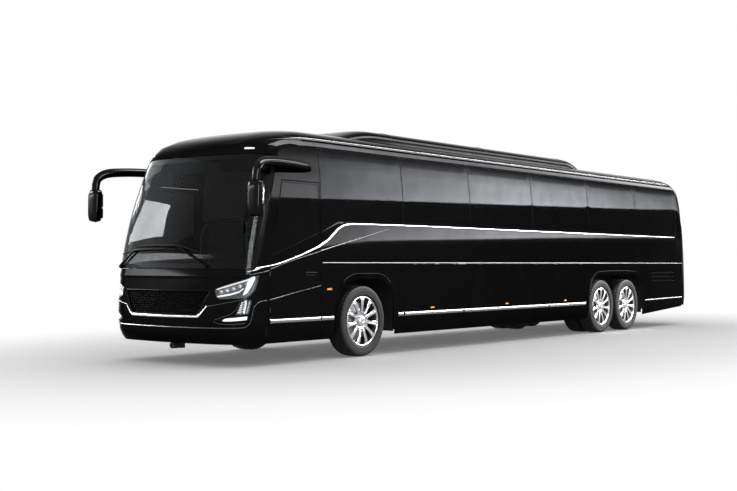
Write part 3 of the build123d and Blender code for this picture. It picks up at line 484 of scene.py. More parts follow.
def mirrored_pair(make, name, bodies=("root", "root"), replaces=((), ()), slot=None):
    """The same piece on both sides of the bus."""
    for suffix, body, hides in zip(("left", "right"), bodies, replaces):
        piece = Piece(f"{name}_{suffix}")
        make(piece)
        if suffix == "right":
            piece.mirror()
        piece.build(body, hides, slot)


def rounded(points, radii, steps=5):
    """Closed outline with rounded corners, points as (u, v)."""
    out, count = [], len(points)
    radii = radii if isinstance(radii, (list, tuple)) else [radii] * count
    for i, radius in enumerate(radii):
        p, q, r = (Vector(points[(i + k) % count]) for k in (-1, 0, 1))
        if radius <= 0:
            out.append(tuple(q))
            continue
        back, ahead = (p - q).normalized(), (r - q).normalized()
        half_turn = back.angle(ahead) / 2
        cut = min(radius / math.tan(half_turn), 0.48 * (p - q).length, 0.48 * (r - q).length)
        for k in range(steps + 1):
            t = k / steps
            near, far = q + back * cut, q + ahead * cut
            out.append(tuple((1 - t) ** 2 * near + 2 * t * (1 - t) * q + t * t * far))
    return out


def box_loop(x, z, radius=0.0, steps=4):
    """A box as an outline, its corners rounded."""
    corners = [(x[0], z[0]), (x[1], z[0]), (x[1], z[1]), (x[0], z[1])]
    return rounded(corners, radius, steps) if radius else corners


def box_face(x, y, z):
    """Corners of a flat face that is level along X and leans from (y[0], z[0]) to (y[1], z[1])."""
    return [(x[0], y[0], z[0]), (x[1], y[0], z[0]), (x[1], y[1], z[1]), (x[0], y[1], z[1])]


def band(count):
    """Quads between a closed ring of points and the ring after it."""
    return [(k, (k + 1) % count, (k + 1) % count + count, k + count) for k in range(count)]


def looks_away(points, face, outward):
    """True where a face's order turns it against a direction."""
    p, q, r = (points[i] for i in face[:3])
    return np.dot(np.cross(q - p, r - p), outward) < 0


def spokes(axis, sides):
    """The unit axis, and unit vectors all round it."""
    axis = Vector(axis).normalized()
    u = axis.orthogonal().normalized()
    v = axis.cross(u)
    turns = [2 * math.pi * k / sides for k in range(sides)]
    return axis, [math.cos(turn) * u + math.sin(turn) * v for turn in turns]


def dense(points, step, closed=True):
    """Outline with no run longer than a step."""
    out = []
    ends = points[1:] + points[:1] if closed else points[1:]
    for p, q in zip(points, ends):
        count = max(1, math.ceil(math.dist(p, q) / step))
        out += [tuple(p[k] + (q[k] - p[k]) * i / count for k in range(2)) for i in range(count)]
    return out if closed else out + [points[-1]]


def inside(u, v, loops):
    """True where points lie within an odd number of the loops."""
    hit = np.zeros(len(u), bool)
    for loop in loops:
        ring = np.array(loop)
        for (u0, v0), (u1, v1) in zip(ring, np.roll(ring, -1, 0)):
            if v0 == v1:
                continue
            cross = (v0 > v) != (v1 > v)
            hit ^= cross & (u < (u1 - u0) * (v - v0) / (v1 - v0) + u0)
    return hit


def loop_inset(loop, amount):
    """Loop moved towards its left-hand side by an amount."""
    ring = np.array(loop)
    before, after = ring - np.roll(ring, 1, 0), np.roll(ring, -1, 0) - ring
    before /= np.linalg.norm(before, axis=1, keepdims=True)
    after /= np.linalg.norm(after, axis=1, keepdims=True)
    side = lambda d: np.stack([-d[:, 1], d[:, 0]], 1)
    normal = side(before) + side(after)
    size = np.maximum((normal ** 2).sum(1, keepdims=True) / 2, 0.35)
    return ring + normal * amount / size


def signed_area(loop):
    """Area of a loop, negative where it runs clockwise."""
    ring = np.array(loop)
    nxt = np.roll(ring, -1, 0)
    return float((ring[:, 0] * nxt[:, 1] - nxt[:, 0] * ring[:, 1]).sum() / 2)


def add_sheet(piece, loops, material, thick=0.03, lift=0.0, step=0.11, bevel=0.004, creases=()):
    """A body panel: the first loop is its outline, the others its holes, all in (a, b).

    The outer face follows the body skin, its rim is bevelled, and walls run back to its thickness.
    """
    rims = [np.array(loop if (signed_area(loop) > 0) == (i == 0) else loop[::-1])
            for i, loop in enumerate(loops)]
    tops = [loop_inset(rim, bevel) for rim in rims]
    points, edges = [], []
    for top in tops:
        start = len(points)
        points += [Vector(p) for p in top]
        edges += [(start + k, start + (k + 1) % len(top)) for k in range(len(top))]
    for crease in creases:
        line = np.array(dense([tuple(p) for p in crease], step, closed=False))
        keep = inside(line[:, 0], line[:, 1], tops)
        start = len(points)
        points += [Vector(p) for p in line]
        edges += [(start + k, start + k + 1) for k in range(len(line) - 1) if keep[k] and keep[k + 1]]
    border = np.array([tuple(p) for p in points])
    spans = [np.arange(low + step / 2, high, step) for low, high in zip(tops[0].min(0), tops[0].max(0))]
    grid = np.stack(np.meshgrid(*spans), -1).reshape(-1, 2)
    grid = grid[inside(grid[:, 0], grid[:, 1], tops)]
    if len(grid):
        near = np.hypot(*(grid[:, None] - border[None]).transpose(2, 0, 1)).min(1)
        points += [Vector(p) for p in grid[near > 0.45 * step]]
    flat, _, faces, *_ = delaunay_2d_cdt(points, edges, [], 0, 1e-6)
    uv = np.array([tuple(p) for p in flat])
    mids = np.array([uv[list(f)].mean(0) for f in faces])
    faces = [f for f, ok in zip(faces, inside(mids[:, 0], mids[:, 1], tops)) if ok]
    front, normals = surface(uv[:, 0], uv[:, 1], lift)
    piece.add(front, faces, material, normals)
    for rim, top in zip(rims, tops):
        high, n_high = surface(top[:, 0], top[:, 1], lift)
        mid, _ = surface(rim[:, 0], rim[:, 1], lift - bevel)
        low, _ = surface(rim[:, 0], rim[:, 1], lift - thick)
        side = mid - high
        side = unit(side - (side * n_high).sum(1, keepdims=True) * n_high)
        soft = unit(n_high * 0.5 + side * 0.85)
        quads = [(p, s, r, q) for p, q, r, s in band(len(rim))]
        piece.add(np.concatenate([high, mid]), quads, material, np.concatenate([n_high, soft]))
        piece.add(np.concatenate([mid, low]), quads, material, np.concatenate([side, side]))
    back, n_back = surface(uv[:, 0], uv[:, 1], lift - thick)
    piece.add(back, faces, material, -n_back, flip=True)


DOMED = [(-1, -0.6), (-1, 0.25), (-0.72, 0.75), (-0.3, 0.97), (0.3, 0.97), (0.72, 0.75), (1, 0.25), (1, -0.6)]


def add_strip(piece, path, half_width, height, material, profile=DOMED, lift=0.0, closed=False,
              step=0.06, ends=True, widths=None):
    """A moulding along a path on the body skin: domed across, tapered shut at its ends."""
    route = np.array(dense([tuple(p) for p in path], step, closed))
    points, normals = surface(route[:, 0], route[:, 1], lift)
    count = len(points)
    ahead = np.roll(points, -1, 0) - np.roll(points, 1, 0)
    if not closed:
        ahead[0], ahead[-1] = points[1] - points[0], points[-1] - points[-2]
    ahead = unit(ahead)
    across = np.cross(normals, ahead)
    wide = half_width * np.interp(np.linspace(0, 1, count), *(widths or ([0, 1], [1, 1])))
    tall = np.full(count, height)
    if ends and not closed:
        tall[0] = tall[-1] = height * 0.45
    rings = np.stack([points + across * (wide * u)[:, None] + normals * (tall * v)[:, None]
                      for u, v in profile], 1)
    k = len(profile)
    shade = np.stack([np.cross(ahead, rings[:, min(j + 1, k - 1)] - rings[:, max(j - 1, 0)])
                      for j in range(k)], 1)
    if (shade * (rings - rings.mean(1, keepdims=True))).sum() < 0:
        shade = -shade
    flat, shade = rings.reshape(-1, 3), unit(shade).reshape(-1, 3)
    faces = []
    for i in range(count if closed else count - 1):
        here, after = i * k, (i + 1) % count * k
        faces += [(here + j, here + j + 1, after + j + 1, after + j) for j in range(k - 1)]
    flip = looks_away(flat, faces[0], shade[0])
    piece.add(flat, faces, material, shade, flip=flip)
    if not closed:
        piece.add(rings[0], [range(k)], material, flip=not flip)
        piece.add(rings[-1], [range(k)], material, flip=flip)


def side_loop(points):
    """Outline on the body from (s, z) points."""
    return [side_at(*p) for p in dense(points, 0.09)]


def side_path(points):
    """Path on the body from (s, z) points."""
    return [side_at(*p) for p in dense(points, 0.09, closed=False)]


def front_loop(points):
    """Outline on the body from (x, z) points in front view."""
    return [front_at(*p) for p in dense(points, 0.06)]


def front_path(points):
    """Path on the body from (x, z) points in front view."""
    return [front_at(*p) for p in dense(points, 0.06, closed=False)]


def rear_loop(points):
    """Outline on the body from (x, z) points in rear view."""
    return [rear_at(*p) for p in dense(points, 0.08)]


def rear_path(points, step=0.08):
    """Path on the body from (x, z) points in rear view."""
    return [rear_at(*p) for p in dense(points, step, closed=False)]


def arch_points(span, grow=0.0):
    """Outline of a wheel opening, from its front foot over the top to its rear foot."""
    low, high, top, r = span[0] - grow, span[1] + grow, ARCH_TOP + grow, ARCH_R + grow
    out = [(low, SKIRT_Z)]
    for centre, first in ((low + r, 180), (high - r, 90)):
        for k in range(9):
            turn = math.radians(first - 90 * k / 8)
            out.append((centre + r * math.cos(turn), top - r + r * math.sin(turn)))
    return out + [(high, SKIRT_Z)]


# Body panels
SIDES = ((1, "left"), (-1, "right"))
SCREEN_EDGE = ((-2.27, SCREEN_BASE), (-1.82, SCREEN_TOP))
ROOF_LINE = [(-1.82, SCREEN_TOP), (-1.72, 2.9), (-1.52, 2.965), (-1.28, 3.005), (-1.0, CANT_Z)]
DOOR_GLASS = [(-2.012, 1.462), (-1.022, 1.8), (-1.022, 2.472), (-1.742, 2.472), (-1.985, 1.6)]
DOOR_GLASS_RADII = [0.02, 0.03, 0.05, 0.05, 0.05]
HINGE_X = HALF + 0.008
FOOT_LINE, FOOT_STRIP = 0.595, (0.028, 0.014, "silver")
LOUVRE_S, LOUVRE_Z, LOUVRE_TALL = (9.9, 11.05), (1.0, 1.085, 1.17), 0.045


def crease_lines(line, shifts):
    """Mesh lines along a crease of the side, at heights about it."""
    return [[side_at(s, z + shift) for s, z in dense(line, 0.1, closed=False)] for shift in shifts]


SHOULDER_LINES = crease_lines([(-2.2, 1.3), *list(zip(*SHOULDER))[1:]], (-0.008, 0.008))
SHOULDER_LINES += [[side_at(s, z + np.interp(s, *BELT_STEP) + shift)
                    for s, z in dense(BELT_LINE[:10], 0.06, closed=False)] for shift in (-0.007, 0.006)]
LOWER_LINES = crease_lines([*zip(*LOWER_CREASE), (9.8, 1.09)], (0.0, 0.05))


def make_side_panel(piece):
    """Wall below and behind the glass band, with the door, wheel and flap openings left out."""
    door = [(-2.053, SKIRT_Z), (-2.053, 1.302), (-1.762, 2.508), (-0.982, 2.508), (-0.982, SKIRT_Z)]
    hold = [(HOLD_SEAMS[0] - GAP, SKIRT_Z), (HOLD_SEAMS[0] - GAP, FLAP_TOP), (HOLD_SEAMS[-1] + GAP, FLAP_TOP),
            (HOLD_SEAMS[-1] + GAP, SKIRT_Z)]
    rise = SKIRT_Z + (TAIL_RISE[1] - SKIRT_Z) * (REAR_CUT - TAIL_RISE[0]) / (LENGTH / 2 - at(TAIL_RISE[0]))
    tail_s, nose_s, sill = REAR_CUT - 0.002, MASK_S + 0.002, BELT_Z - 0.006
    loop = [(nose_s, SKIRT_Z)] + door + arch_points(FRONT_ARCH) + hold + arch_points(REAR_ARCH)
    loop += [(tail_s, rise), (tail_s, CANT_Z), (11.234, CANT_Z), (11.234, 2.2), (11.215, 2.06),
             (11.16, 1.985), (11.06, sill), (-0.585, sill), (-0.956, 1.81), (-0.956, CANT_Z)]
    loop += [(s, z - 0.002) for s, z in ROOF_LINE[::-1][1:]]
    loop += [(SCREEN_EDGE[1][0] + 0.004, SCREEN_TOP - 0.004), (SCREEN_EDGE[0][0] + 0.004, SCREEN_BASE),
             (nose_s, SCREEN_BASE - 0.002)]
    louvres = [side_loop(box_loop(LOUVRE_S, (z, z + LOUVRE_TALL), 0.018, 3)) for z in LOUVRE_Z]
    add_sheet(piece, [side_loop(loop)] + louvres, "paint", thick=0.028, creases=SHOULDER_LINES + LOWER_LINES)
    add_sheet(piece, [side_loop(box_loop((9.86, 11.09), (0.97, 1.245)))], "grille", thick=0.006, lift=-0.036,
              bevel=0.0)
    for z in LOUVRE_Z:
        for k in range(4):
            low = z + 0.004 + 0.011 * k
            add_strip(piece, side_path([(9.89, low), (11.06, low)]), 0.002, 0.012, "grille", lift=-0.02,
                      ends=False)


mirrored_pair(make_side_panel, "side_wall", replaces=(("side_panel_left",), ("side_panel_right",)),
              slot="body_paint")


def make_window_frame(piece):
    """Black pillars and rails behind the flush side glass."""
    holes = []
    for front, rear in zip(GLASS_SEAMS, GLASS_SEAMS[1:]):
        sill = 2.0 if front > -0.5 else 2.01
        holes.append(side_loop(box_loop((front + 0.055, rear - 0.055), (sill, 2.95), 0.05)))
    outline = [(-0.95, 1.815), (-0.585, 1.94), (11.06, 1.94), (11.16, 1.98), (11.215, 2.06), (11.234, 2.2),
               (11.234, 3.015), (-0.95, 3.015)]
    add_sheet(piece, [side_loop(outline)] + holes, "satin", thick=0.025, lift=-0.012, step=0.2)


mirrored_pair(make_window_frame, "window_frame", slot="trim_black")


def make_side_glass(piece):
    """Six flush panes with thin seams; the rearmost has a round lower corner."""
    sill, half_seam = BELT_Z + 0.018, 0.007
    for k, (front, rear) in enumerate(zip(GLASS_SEAMS, GLASS_SEAMS[1:])):
        low, high = front + (0 if k == 0 else half_seam), rear - (0 if k == 5 else half_seam)
        loop = box_loop((low, high), (sill, 3.008))
        if k == 0:
            loop = [(low, 1.82), (-0.585, sill)] + loop[1:]
        if k == 5:
            loop = [loop[0], (11.06, sill), (11.16, 1.99), (11.21, 2.06), (11.228, 2.2)] + loop[2:]
        add_sheet(piece, [side_loop(loop)], "tinted", thick=0.006, bevel=0.0015, step=0.16)


mirrored_pair(make_side_glass, "side_window", replaces=(("side_glass_left",), ("side_glass_right",)),
              slot="tinted_glass")


def add_barrel(piece, start, end, radius, material, sides=16):
    """A round bar between two points, closed at its ends."""
    start, end = Vector(start), Vector(end)
    _, ring = spokes(end - start, sides)
    points = [start + r * radius for r in ring] + [end + r * radius for r in ring]
    piece.add(points, band(sides), material, [tuple(r) for r in ring] * 2)
    piece.add(points[:sides], [range(sides)], material, flip=True)
    piece.add(points[sides:], [range(sides)], material)


def make_door(piece):
    """Door skin with its window opening, handle recess and hinge sleeves."""
    outline = [(-2.045, SKIRT_Z), (-0.99, SKIRT_Z), (-0.99, 2.5), (-1.755, 2.5), (-2.045, 1.3)]
    add_sheet(piece, [side_loop(outline), side_loop(rounded(DOOR_GLASS, DOOR_GLASS_RADII, 4))], "paint",
              thick=0.035, creases=SHOULDER_LINES + LOWER_LINES)
    frame_loop = rounded([(-2.03, 1.44), (-1.005, 1.785), (-1.005, 2.488), (-1.75, 2.488), (-2.0, 1.56)],
                         0.01, 2)
    frame_hole = rounded([(-1.93, 1.52), (-1.075, 1.815), (-1.075, 2.425), (-1.7, 2.425), (-1.925, 1.6)],
                         0.05, 4)
    add_sheet(piece, [side_loop(frame_loop), side_loop(frame_hole)], "satin", thick=0.02, lift=-0.012)
    add_strip(piece, side_path([(-1.34, 1.245), (-1.1, 1.245)]), 0.010, 0.022, "gloss_trim", lift=0.012)
    for s in (-1.33, -1.11):
        add_strip(piece, side_path([(s, 1.236), (s, 1.254)]), 0.012, 0.014, "gloss_trim")
    pocket = side_loop(box_loop((-1.32, -1.12), (1.195, 1.232), 0.015, 3))
    add_sheet(piece, [pocket], "wiper", thick=0.01, lift=0.003)
    for z in (0.75, 1.23):
        ends = [(HINGE_X, at(DOOR_S[0]), z + half) for half in (-0.03, 0.03)]
        add_barrel(piece, *ends, 0.007, "satin")


def make_door_glass(piece):
    """The door's flush pane."""
    pane = side_loop(rounded(DOOR_GLASS, DOOR_GLASS_RADII, 4))
    add_sheet(piece, [pane], "tinted", thick=0.006, bevel=0.0015)


mirrored_pair(make_door, "side_door", ("driver_door", "entrance_door"),
              (("driver_door",), ("entrance_door",)), slot="body_paint")
mirrored_pair(make_door_glass, "door_window", ("driver_door", "entrance_door"),
              (("driver_door_glass",), ("entrance_door_glass",)), slot="tinted_glass")

for number, (front, rear) in enumerate(zip(HOLD_SEAMS, HOLD_SEAMS[1:]), 1):
    def make_flap(piece):
        """A luggage flap with its hinges and the silver line along its foot."""
        loop = box_loop((front + GAP, rear - GAP), (SKIRT_Z, FLAP_TOP - 0.008),
                        [0.012, 0.012, 0.004, 0.004], 3)
        add_sheet(piece, [side_loop(loop)], "paint", thick=0.035, creases=LOWER_LINES)
        inset = (rear - front) / 6
        for s in (front + inset, rear - inset):
            ends = [(HINGE_X, at(s) + half, FLAP_TOP - 0.008) for half in (-0.03, 0.03)]
            add_barrel(piece, *ends, 0.007, "satin")
        add_strip(piece, side_path([(max(front + 0.02, 0.99), FOOT_LINE), (rear - 0.012, FOOT_LINE)]),
                  *FOOT_STRIP)
    flaps = [f"luggage_flap_{side}_{number}" for _, side in SIDES]
    mirrored_pair(make_flap, f"hold_flap_{number}", flaps, [(name,) for name in flaps],
                  slot="body_paint")


# Windscreen, across the whole nose
def screen_outline(grow=0.0):
    """Outline of the windscreen, drawn in by an amount."""
    right = [(SCREEN_EDGE[0][0] - grow, SCREEN_BASE + grow), (SCREEN_EDGE[1][0] - grow, SCREEN_TOP - grow)]
    half = [front_at(x, SCREEN_BASE + grow) for x in np.linspace(0, edge_x(SCREEN_BASE), 14)[:-1]]
    half += [side_at(*p) for p in dense(right, 0.08, closed=False)]
    half += [front_at(x, SCREEN_TOP - grow) for x in np.linspace(edge_x(SCREEN_TOP), 0, 14)[1:]]
    return half + [(-a, b) for a, b in half[::-1] if a > 1e-6]


def edge_x(z):
    """X of the windscreen's side edge at a height."""
    share = (z - SCREEN_BASE) / (SCREEN_TOP - SCREEN_BASE)
    s = SCREEN_EDGE[0][0] + share * (SCREEN_EDGE[1][0] - SCREEN_EDGE[0][0])
    return float(body_point(*side_at(s, z))[0])


glass = Piece("windscreen")
add_sheet(glass, [screen_outline(0.006)], "screen", thick=0.007, bevel=0.0015, step=0.1)
glass.build(replaces=("windshield",), slot="screen_glass")

surround = Piece("windscreen_surround")
add_sheet(surround, [screen_outline(0.003), screen_outline(0.075)], "satin", thick=0.012, lift=-0.009,
          step=0.1)
surround.build(slot="trim_black")

# Roof skin: a sheet over each half, outlined from the nose's middle round to the tail's, and a strip between
B_CROWN = B_END - 0.004
CROWN_POINTS = 120
lower = [side_at(*p) for p in dense(ROOF_LINE + [(REAR_CUT, CANT_Z)], 0.1, closed=False)]
(nose_a, nose_b), (tail_a, _) = lower[0], lower[-1]
b_cant = float(height_b(CANT_Z))
half_loop = [(0.0, nose_b)] + [(a, nose_b) for a in np.linspace(-nose_a, nose_a, 30)[1:-1] if a > 0.01]
half_loop += lower
half_loop += [(a, b_cant) for a in np.linspace(tail_a, 2 * A_END - tail_a, 30)[1:-1] if a < A_END - 0.01]
half_loop += [(A_END, b) for b in np.linspace(b_cant, B_CROWN, 26)[:-1]]
half_loop += [(a, B_CROWN) for a in np.linspace(A_END, 0, 150)]
half_loop += [(0.0, b) for b in np.linspace(B_CROWN, nose_b, 36)[1:-1]]
roof, half = Piece("roof_skin"), Piece("half")
add_sheet(half, [half_loop], "paint", thick=0.03, bevel=0.0, step=0.13)
roof.take(half)
half.mirror()
roof.take(half)
crown, _ = surface(np.linspace(0, A_END, CROWN_POINTS), B_CROWN)
roof.add(np.concatenate([crown, crown * (-1, 1, 1)]),
         [(k, k + 1, k + 1 + CROWN_POINTS, k + CROWN_POINTS) for k in range(CROWN_POINTS - 1)], "paint",
         [(0, 0, 1)] * 2 * CROWN_POINTS)
roof.build(replaces=("roof_shell",), slot="body_paint")


# Front mask with its openings, all in front view (x, z)
GRILLE = [(-0.84, 1.01), (-0.65, 0.69), (0.65, 0.69), (0.84, 1.01)]
# The lamps wrap round the corner, so their outlines are (a, z) on the body
HEADLAMP = [(0.908, 1.036), (1.161, 1.118), (1.451, 1.202), (1.512, 1.212), (1.512, 1.129), (1.47, 1.022),
            (1.405, 0.949), (1.34, 0.915), (0.996, 0.903), (0.935, 0.931)]
GUIDE_TOP = [(0.924, 1.030), (1.161, 1.098), (1.367, 1.156)]
GUIDE_BLADE = [(1.374, 1.161), (1.443, 1.193), (1.478, 1.175), (1.432, 1.079), (1.363, 0.979), (1.298, 0.944),
               (1.321, 1.002), (1.348, 1.073)]
GUIDE_LOW = [(0.943, 0.936), (1.134, 0.966), (1.248, 0.999), (1.306, 1.043)]
LAMP_OUTER = [(1.495, 1.16), (1.478, 1.08), (1.432, 0.997), (1.336, 0.935)]
LENSES = [(0.996, 0.999), (1.08, 1.018), (1.168, 1.040), (1.252, 1.072)]
FOG_LAMP = [(1.282, 0.876), (1.34, 0.897), (1.42, 0.885), (1.424, 0.855), (1.382, 0.704), (1.206, 0.698),
            (1.241, 0.764)]
BLADE = [(1.027, 0.623), (1.069, 0.65), (1.374, 0.675), (1.363, 0.63), (1.145, 0.614), (1.042, 0.613)]
BLADE_BED = [(0.905, 0.621), (1.031, 0.660), (1.218, 0.688), (1.386, 0.692), (1.374, 0.618), (1.325, 0.595),
             (1.13, 0.584), (0.989, 0.593)]


def nose_path(points):
    """Path on the body from (a, z) points."""
    return [(a, float(height_b(z))) for a, z in dense(points, 0.03, closed=False)]


def nose_loop(points, radius=0.01, step=0.03):
    """Outline on the body from (a, z) points."""
    return [(a, float(height_b(z))) for a, z in dense(rounded(points, radius, 3), step)]


mask_top = SCREEN_BASE - 0.002
mask_side = [side_at(MASK_S, z) for z in np.linspace(SKIRT_Z, mask_top, 16)]
mask_half = [(a, mask_side[0][1]) for a in np.linspace(0, mask_side[0][0], 18)[:-1]] + mask_side
mask_half += [(a, mask_side[-1][1]) for a in np.linspace(mask_side[-1][0], 0, 18)[1:]]
mask_loops = [mask_half + [(-a, b) for a, b in mask_half[::-1] if a > 1e-6],
              front_loop(rounded(GRILLE, [0.02, 0.09, 0.09, 0.02], 5))]
for outline in (HEADLAMP, FOG_LAMP, BLADE_BED):
    hole = nose_loop(outline)
    mask_loops += [hole, [(-a, b) for a, b in hole[::-1]]]
mask_lines = [[front_at(x, z) for x in np.linspace(-1.2, 1.2, 40)]
              for z in (BROW_Z[0] - 0.004, BROW_Z[0] + 0.004, BROW_Z[1] - 0.004, BROW_Z[1] + 0.004)]
mask_lines += [[front_at(x, z) for x in np.linspace(-1.15, 1.15, 40)] for z in (0.46, 0.52, 0.32, 0.37)]
mask = Piece("nose_mask")
add_sheet(mask, mask_loops, "paint", thick=0.03, step=0.09, creases=mask_lines)
mask.build(replaces=("front_mask",), slot="body_paint")

# Grille: a frame, a backing sheet and a honeycomb between
CELL = 0.043
BAR_WIDE, BAR_DEEP, BAR_SINK = 0.0042, 0.016, -0.012
mesh_grille = Piece("grille_mesh")
grille_loop = rounded(GRILLE, [0.02, 0.09, 0.09, 0.02], 5)
backing = rounded([(-0.835, 1.006), (-0.648, 0.694), (0.648, 0.694), (0.835, 1.006)],
                  [0.02, 0.088, 0.088, 0.02], 5)
add_sheet(mesh_grille, [front_loop(backing)], "grille", thick=0.006, lift=-0.05)


def grille_bar(piece, p, q):
    """One bar of the honeycomb between two front-view points."""
    ends, normals = surface_at([front_at(*p), front_at(*q)], BAR_SINK)
    across = np.cross(normals[0], ends[1] - ends[0])
    across *= BAR_WIDE / np.linalg.norm(across)
    ring = []
    for end, normal in zip(ends, normals):
        deep = end - normal * BAR_DEEP
        ring += [end + across, end + normal * 0.002, end - across, deep - across * 0.6, deep + across * 0.6]
    piece.add(ring, band(5), "grille", flip=True)


for row in range(int(0.34 / (CELL * 0.866)) + 1):
    for column in range(-22, 23):
        x = (column + 0.5 * (row % 2)) * CELL * 1.45
        z = 0.69 + row * CELL * 0.75
        corners = [(x + CELL * 0.80 * math.cos(turn), z + CELL * 0.5 * math.sin(turn))
                   for turn in np.radians((0, 60, 120, 180))]
        for p, q in zip(corners, corners[1:]):
            if inside(np.array([p[0], q[0]]), np.array([p[1], q[1]]), [grille_loop]).all():
                grille_bar(mesh_grille, p, q)
add_strip(mesh_grille, front_loop(grille_loop), 0.008, 0.012, "gloss_trim", lift=-0.008, closed=True)
mesh_grille.build(replaces=("grille",), slot="grille_black")

# Bright lines of the nose: (a, z) points, half width, height, material, shape of the strip
NOSE_LINES = (
    ([(0.79, 0.803), (0.958, 0.831), (1.176, 0.872), (1.344, 0.907)], 0.0045, 0.006, "edge_line", {}),
    ([(0.0, 0.521), (0.679, 0.522), (0.981, 0.525), (1.237, 0.527), (1.325, 0.534), (1.380, 0.568),
      (1.409, 0.606), (1.436, 0.686), (1.458, 0.79), (1.504, 0.846), (1.585, 0.870), (1.70, 0.879)],
     0.0085, 0.011, "edge_line", {"widths": ([0, 0.6, 0.75, 1], [1, 1, 0.6, 0.35]), "step": 0.03}),
    ([(1.264, 0.869), (1.218, 0.769), (1.145, 0.706), (1.031, 0.668), (0.93, 0.632)],
     0.004, 0.006, "edge_line", {}),
    ([(0.90, 0.612), (0.985, 0.582), (1.13, 0.574), (1.33, 0.585)], 0.004, 0.006, "edge_line", {}),
    ([(1.33, 1.256), (1.394, 1.270), (1.47, 1.288), (1.535, 1.303)], 0.008, 0.010, "chrome",
     {"widths": ([0, 0.4, 1], [0.3, 0.8, 1])}),
    ([(1.37, 1.215), (1.413, 1.228), (1.577, 1.250), (1.70, 1.275)], 0.004, 0.007, "edge_line", {}),
)
trim = Piece("nose_trim")
u_line = [(0.795, 0.808), (0.70, 0.705), (0.65, 0.669), (0, 0.664)]
u_line = [(-x, z) for x, z in u_line[:-1]] + u_line[::-1]
add_strip(trim, front_path(u_line), 0.0165, 0.014, "chrome",
          widths=([0, 0.08, 0.16, 0.84, 0.92, 1], [0.3, 0.6, 1, 1, 0.6, 0.3]))
for sign in (1, -1):
    for points, half_width, tall, material, more in NOSE_LINES:
        add_strip(trim, [(sign * a, b) for a, b in nose_path(points)], half_width, tall, material, **more)
trim.build(slot="alloy")


def lamp_walls(piece, outline, depth):
    """Walls from a lamp's rim down to its bowl."""
    rim = nose_loop(outline, 0.01, 0.02)
    walls = np.concatenate([surface_at(rim, -0.004)[0], surface_at(rim, -depth)[0]])
    piece.add(walls, band(len(rim)), "gloss_trim")
    add_sheet(piece, [rim], "gloss_trim", thick=0.008, lift=-depth, bevel=0.001, step=0.05)


def make_headlamp(piece):
    """Dark bowl with four lenses and light guides over, under and beside them."""
    lamp_walls(piece, HEADLAMP, 0.05)
    add_strip(piece, nose_path(GUIDE_TOP), 0.0085, 0.016, "glow", lift=-0.022, step=0.02,
              widths=([0, 0.3, 1], [0.5, 1, 1.1]))
    add_sheet(piece, [nose_loop(GUIDE_BLADE, 0.008, 0.02)], "glow", thick=0.025, lift=-0.014,
              bevel=0.005, step=0.025)
    add_strip(piece, nose_path(GUIDE_LOW), 0.0115, 0.018, "glow", lift=-0.022, step=0.02,
              widths=([0, 0.2, 0.7, 1], [0.7, 1.1, 1, 0.4]))
    add_strip(piece, nose_path(LAMP_OUTER), 0.018, 0.01, "alloy_dark", lift=-0.03, step=0.02,
              widths=([0, 0.4, 1], [0.4, 1.1, 0.5]))
    for x, z in LENSES:
        point, normal = surface_at([(x, float(height_b(z)))], -0.03)
        add_lens(piece, point[0], normal[0], 0.023)
    for k in range(6):
        z = 0.972 + 0.018 * k
        add_strip(piece, nose_path([(0.955 + 0.02 * k, z), (1.29 + 0.006 * k, z + 0.075)]), 0.0022, 0.006,
                  "reflector", lift=-0.042, ends=False, step=0.03)


def add_dome(piece, centre, axis, radius, rise, material, rings=5, sides=20):
    """A shallow dome facing along an axis."""
    axis, out = spokes(axis, sides)
    points, normals = [Vector(centre) + axis * rise], [axis]
    for ring in range(1, rings + 1):
        turn = math.pi / 2 * ring / rings
        for spoke in out:
            points.append(Vector(centre) + spoke * radius * math.sin(turn) + axis * rise * math.cos(turn))
            normals.append((spoke * math.sin(turn) + axis * math.cos(turn)).normalized())
    faces = [(0, 1 + k, 1 + (k + 1) % sides) for k in range(sides)]
    for start in range(1, 1 + (rings - 1) * sides, sides):
        faces += [(start + k, start + sides + k, start + sides + (k + 1) % sides, start + (k + 1) % sides)
                  for k in range(sides)]
    piece.add(points, faces, material, [tuple(n) for n in normals])


def add_lens(piece, centre, axis, radius):
    """A projector lens in its ring."""
    centre, axis = Vector(centre), Vector(axis).normalized()
    add_barrel(piece, centre - axis * 0.015, centre + axis * 0.004, radius * 1.12, "reflector", 20)
    add_dome(piece, centre + axis * 0.004, axis, radius, radius * 0.45, "reflector")


def make_lamp_cover(piece):
    """The headlamp's clear cover."""
    add_sheet(piece, [nose_loop(HEADLAMP)], "lens", thick=0.003, bevel=0.001, step=0.05)


def make_fog_lamp(piece):
    """Bright upright lamp with its facets, and the light blade under it."""
    lamp_walls(piece, FOG_LAMP, 0.045)
    lamp_walls(piece, BLADE_BED, 0.03)
    add_strip(piece, nose_path([(1.348, 0.884), (1.346, 0.819), (1.325, 0.712)]), 0.010, 0.02, "glow",
              lift=-0.022, step=0.02, widths=([0, 0.5, 1], [1.2, 0.8, 1.1]))
    add_strip(piece, nose_path([(1.296, 0.866), (1.258, 0.714)]), 0.022, 0.012, "reflector", lift=-0.032,
              step=0.03, widths=([0, 1], [0.5, 1.2]))
    add_strip(piece, nose_path([(1.408, 0.872), (1.366, 0.712)]), 0.0075, 0.014, "reflector", lift=-0.024,
              step=0.03)
    for k in range(5):
        z = 0.73 + 0.03 * k
        add_strip(piece, nose_path([(1.235 + 0.012 * k, z), (1.325, z + 0.012)]), 0.003, 0.006, "glow",
                  lift=-0.022, ends=False, step=0.03)
    add_sheet(piece, [nose_loop(BLADE, 0.006, 0.02)], "glow", thick=0.02, lift=-0.008, bevel=0.004, step=0.03)
    add_sheet(piece, [nose_loop(FOG_LAMP)], "lens", thick=0.003, bevel=0.001, step=0.05)


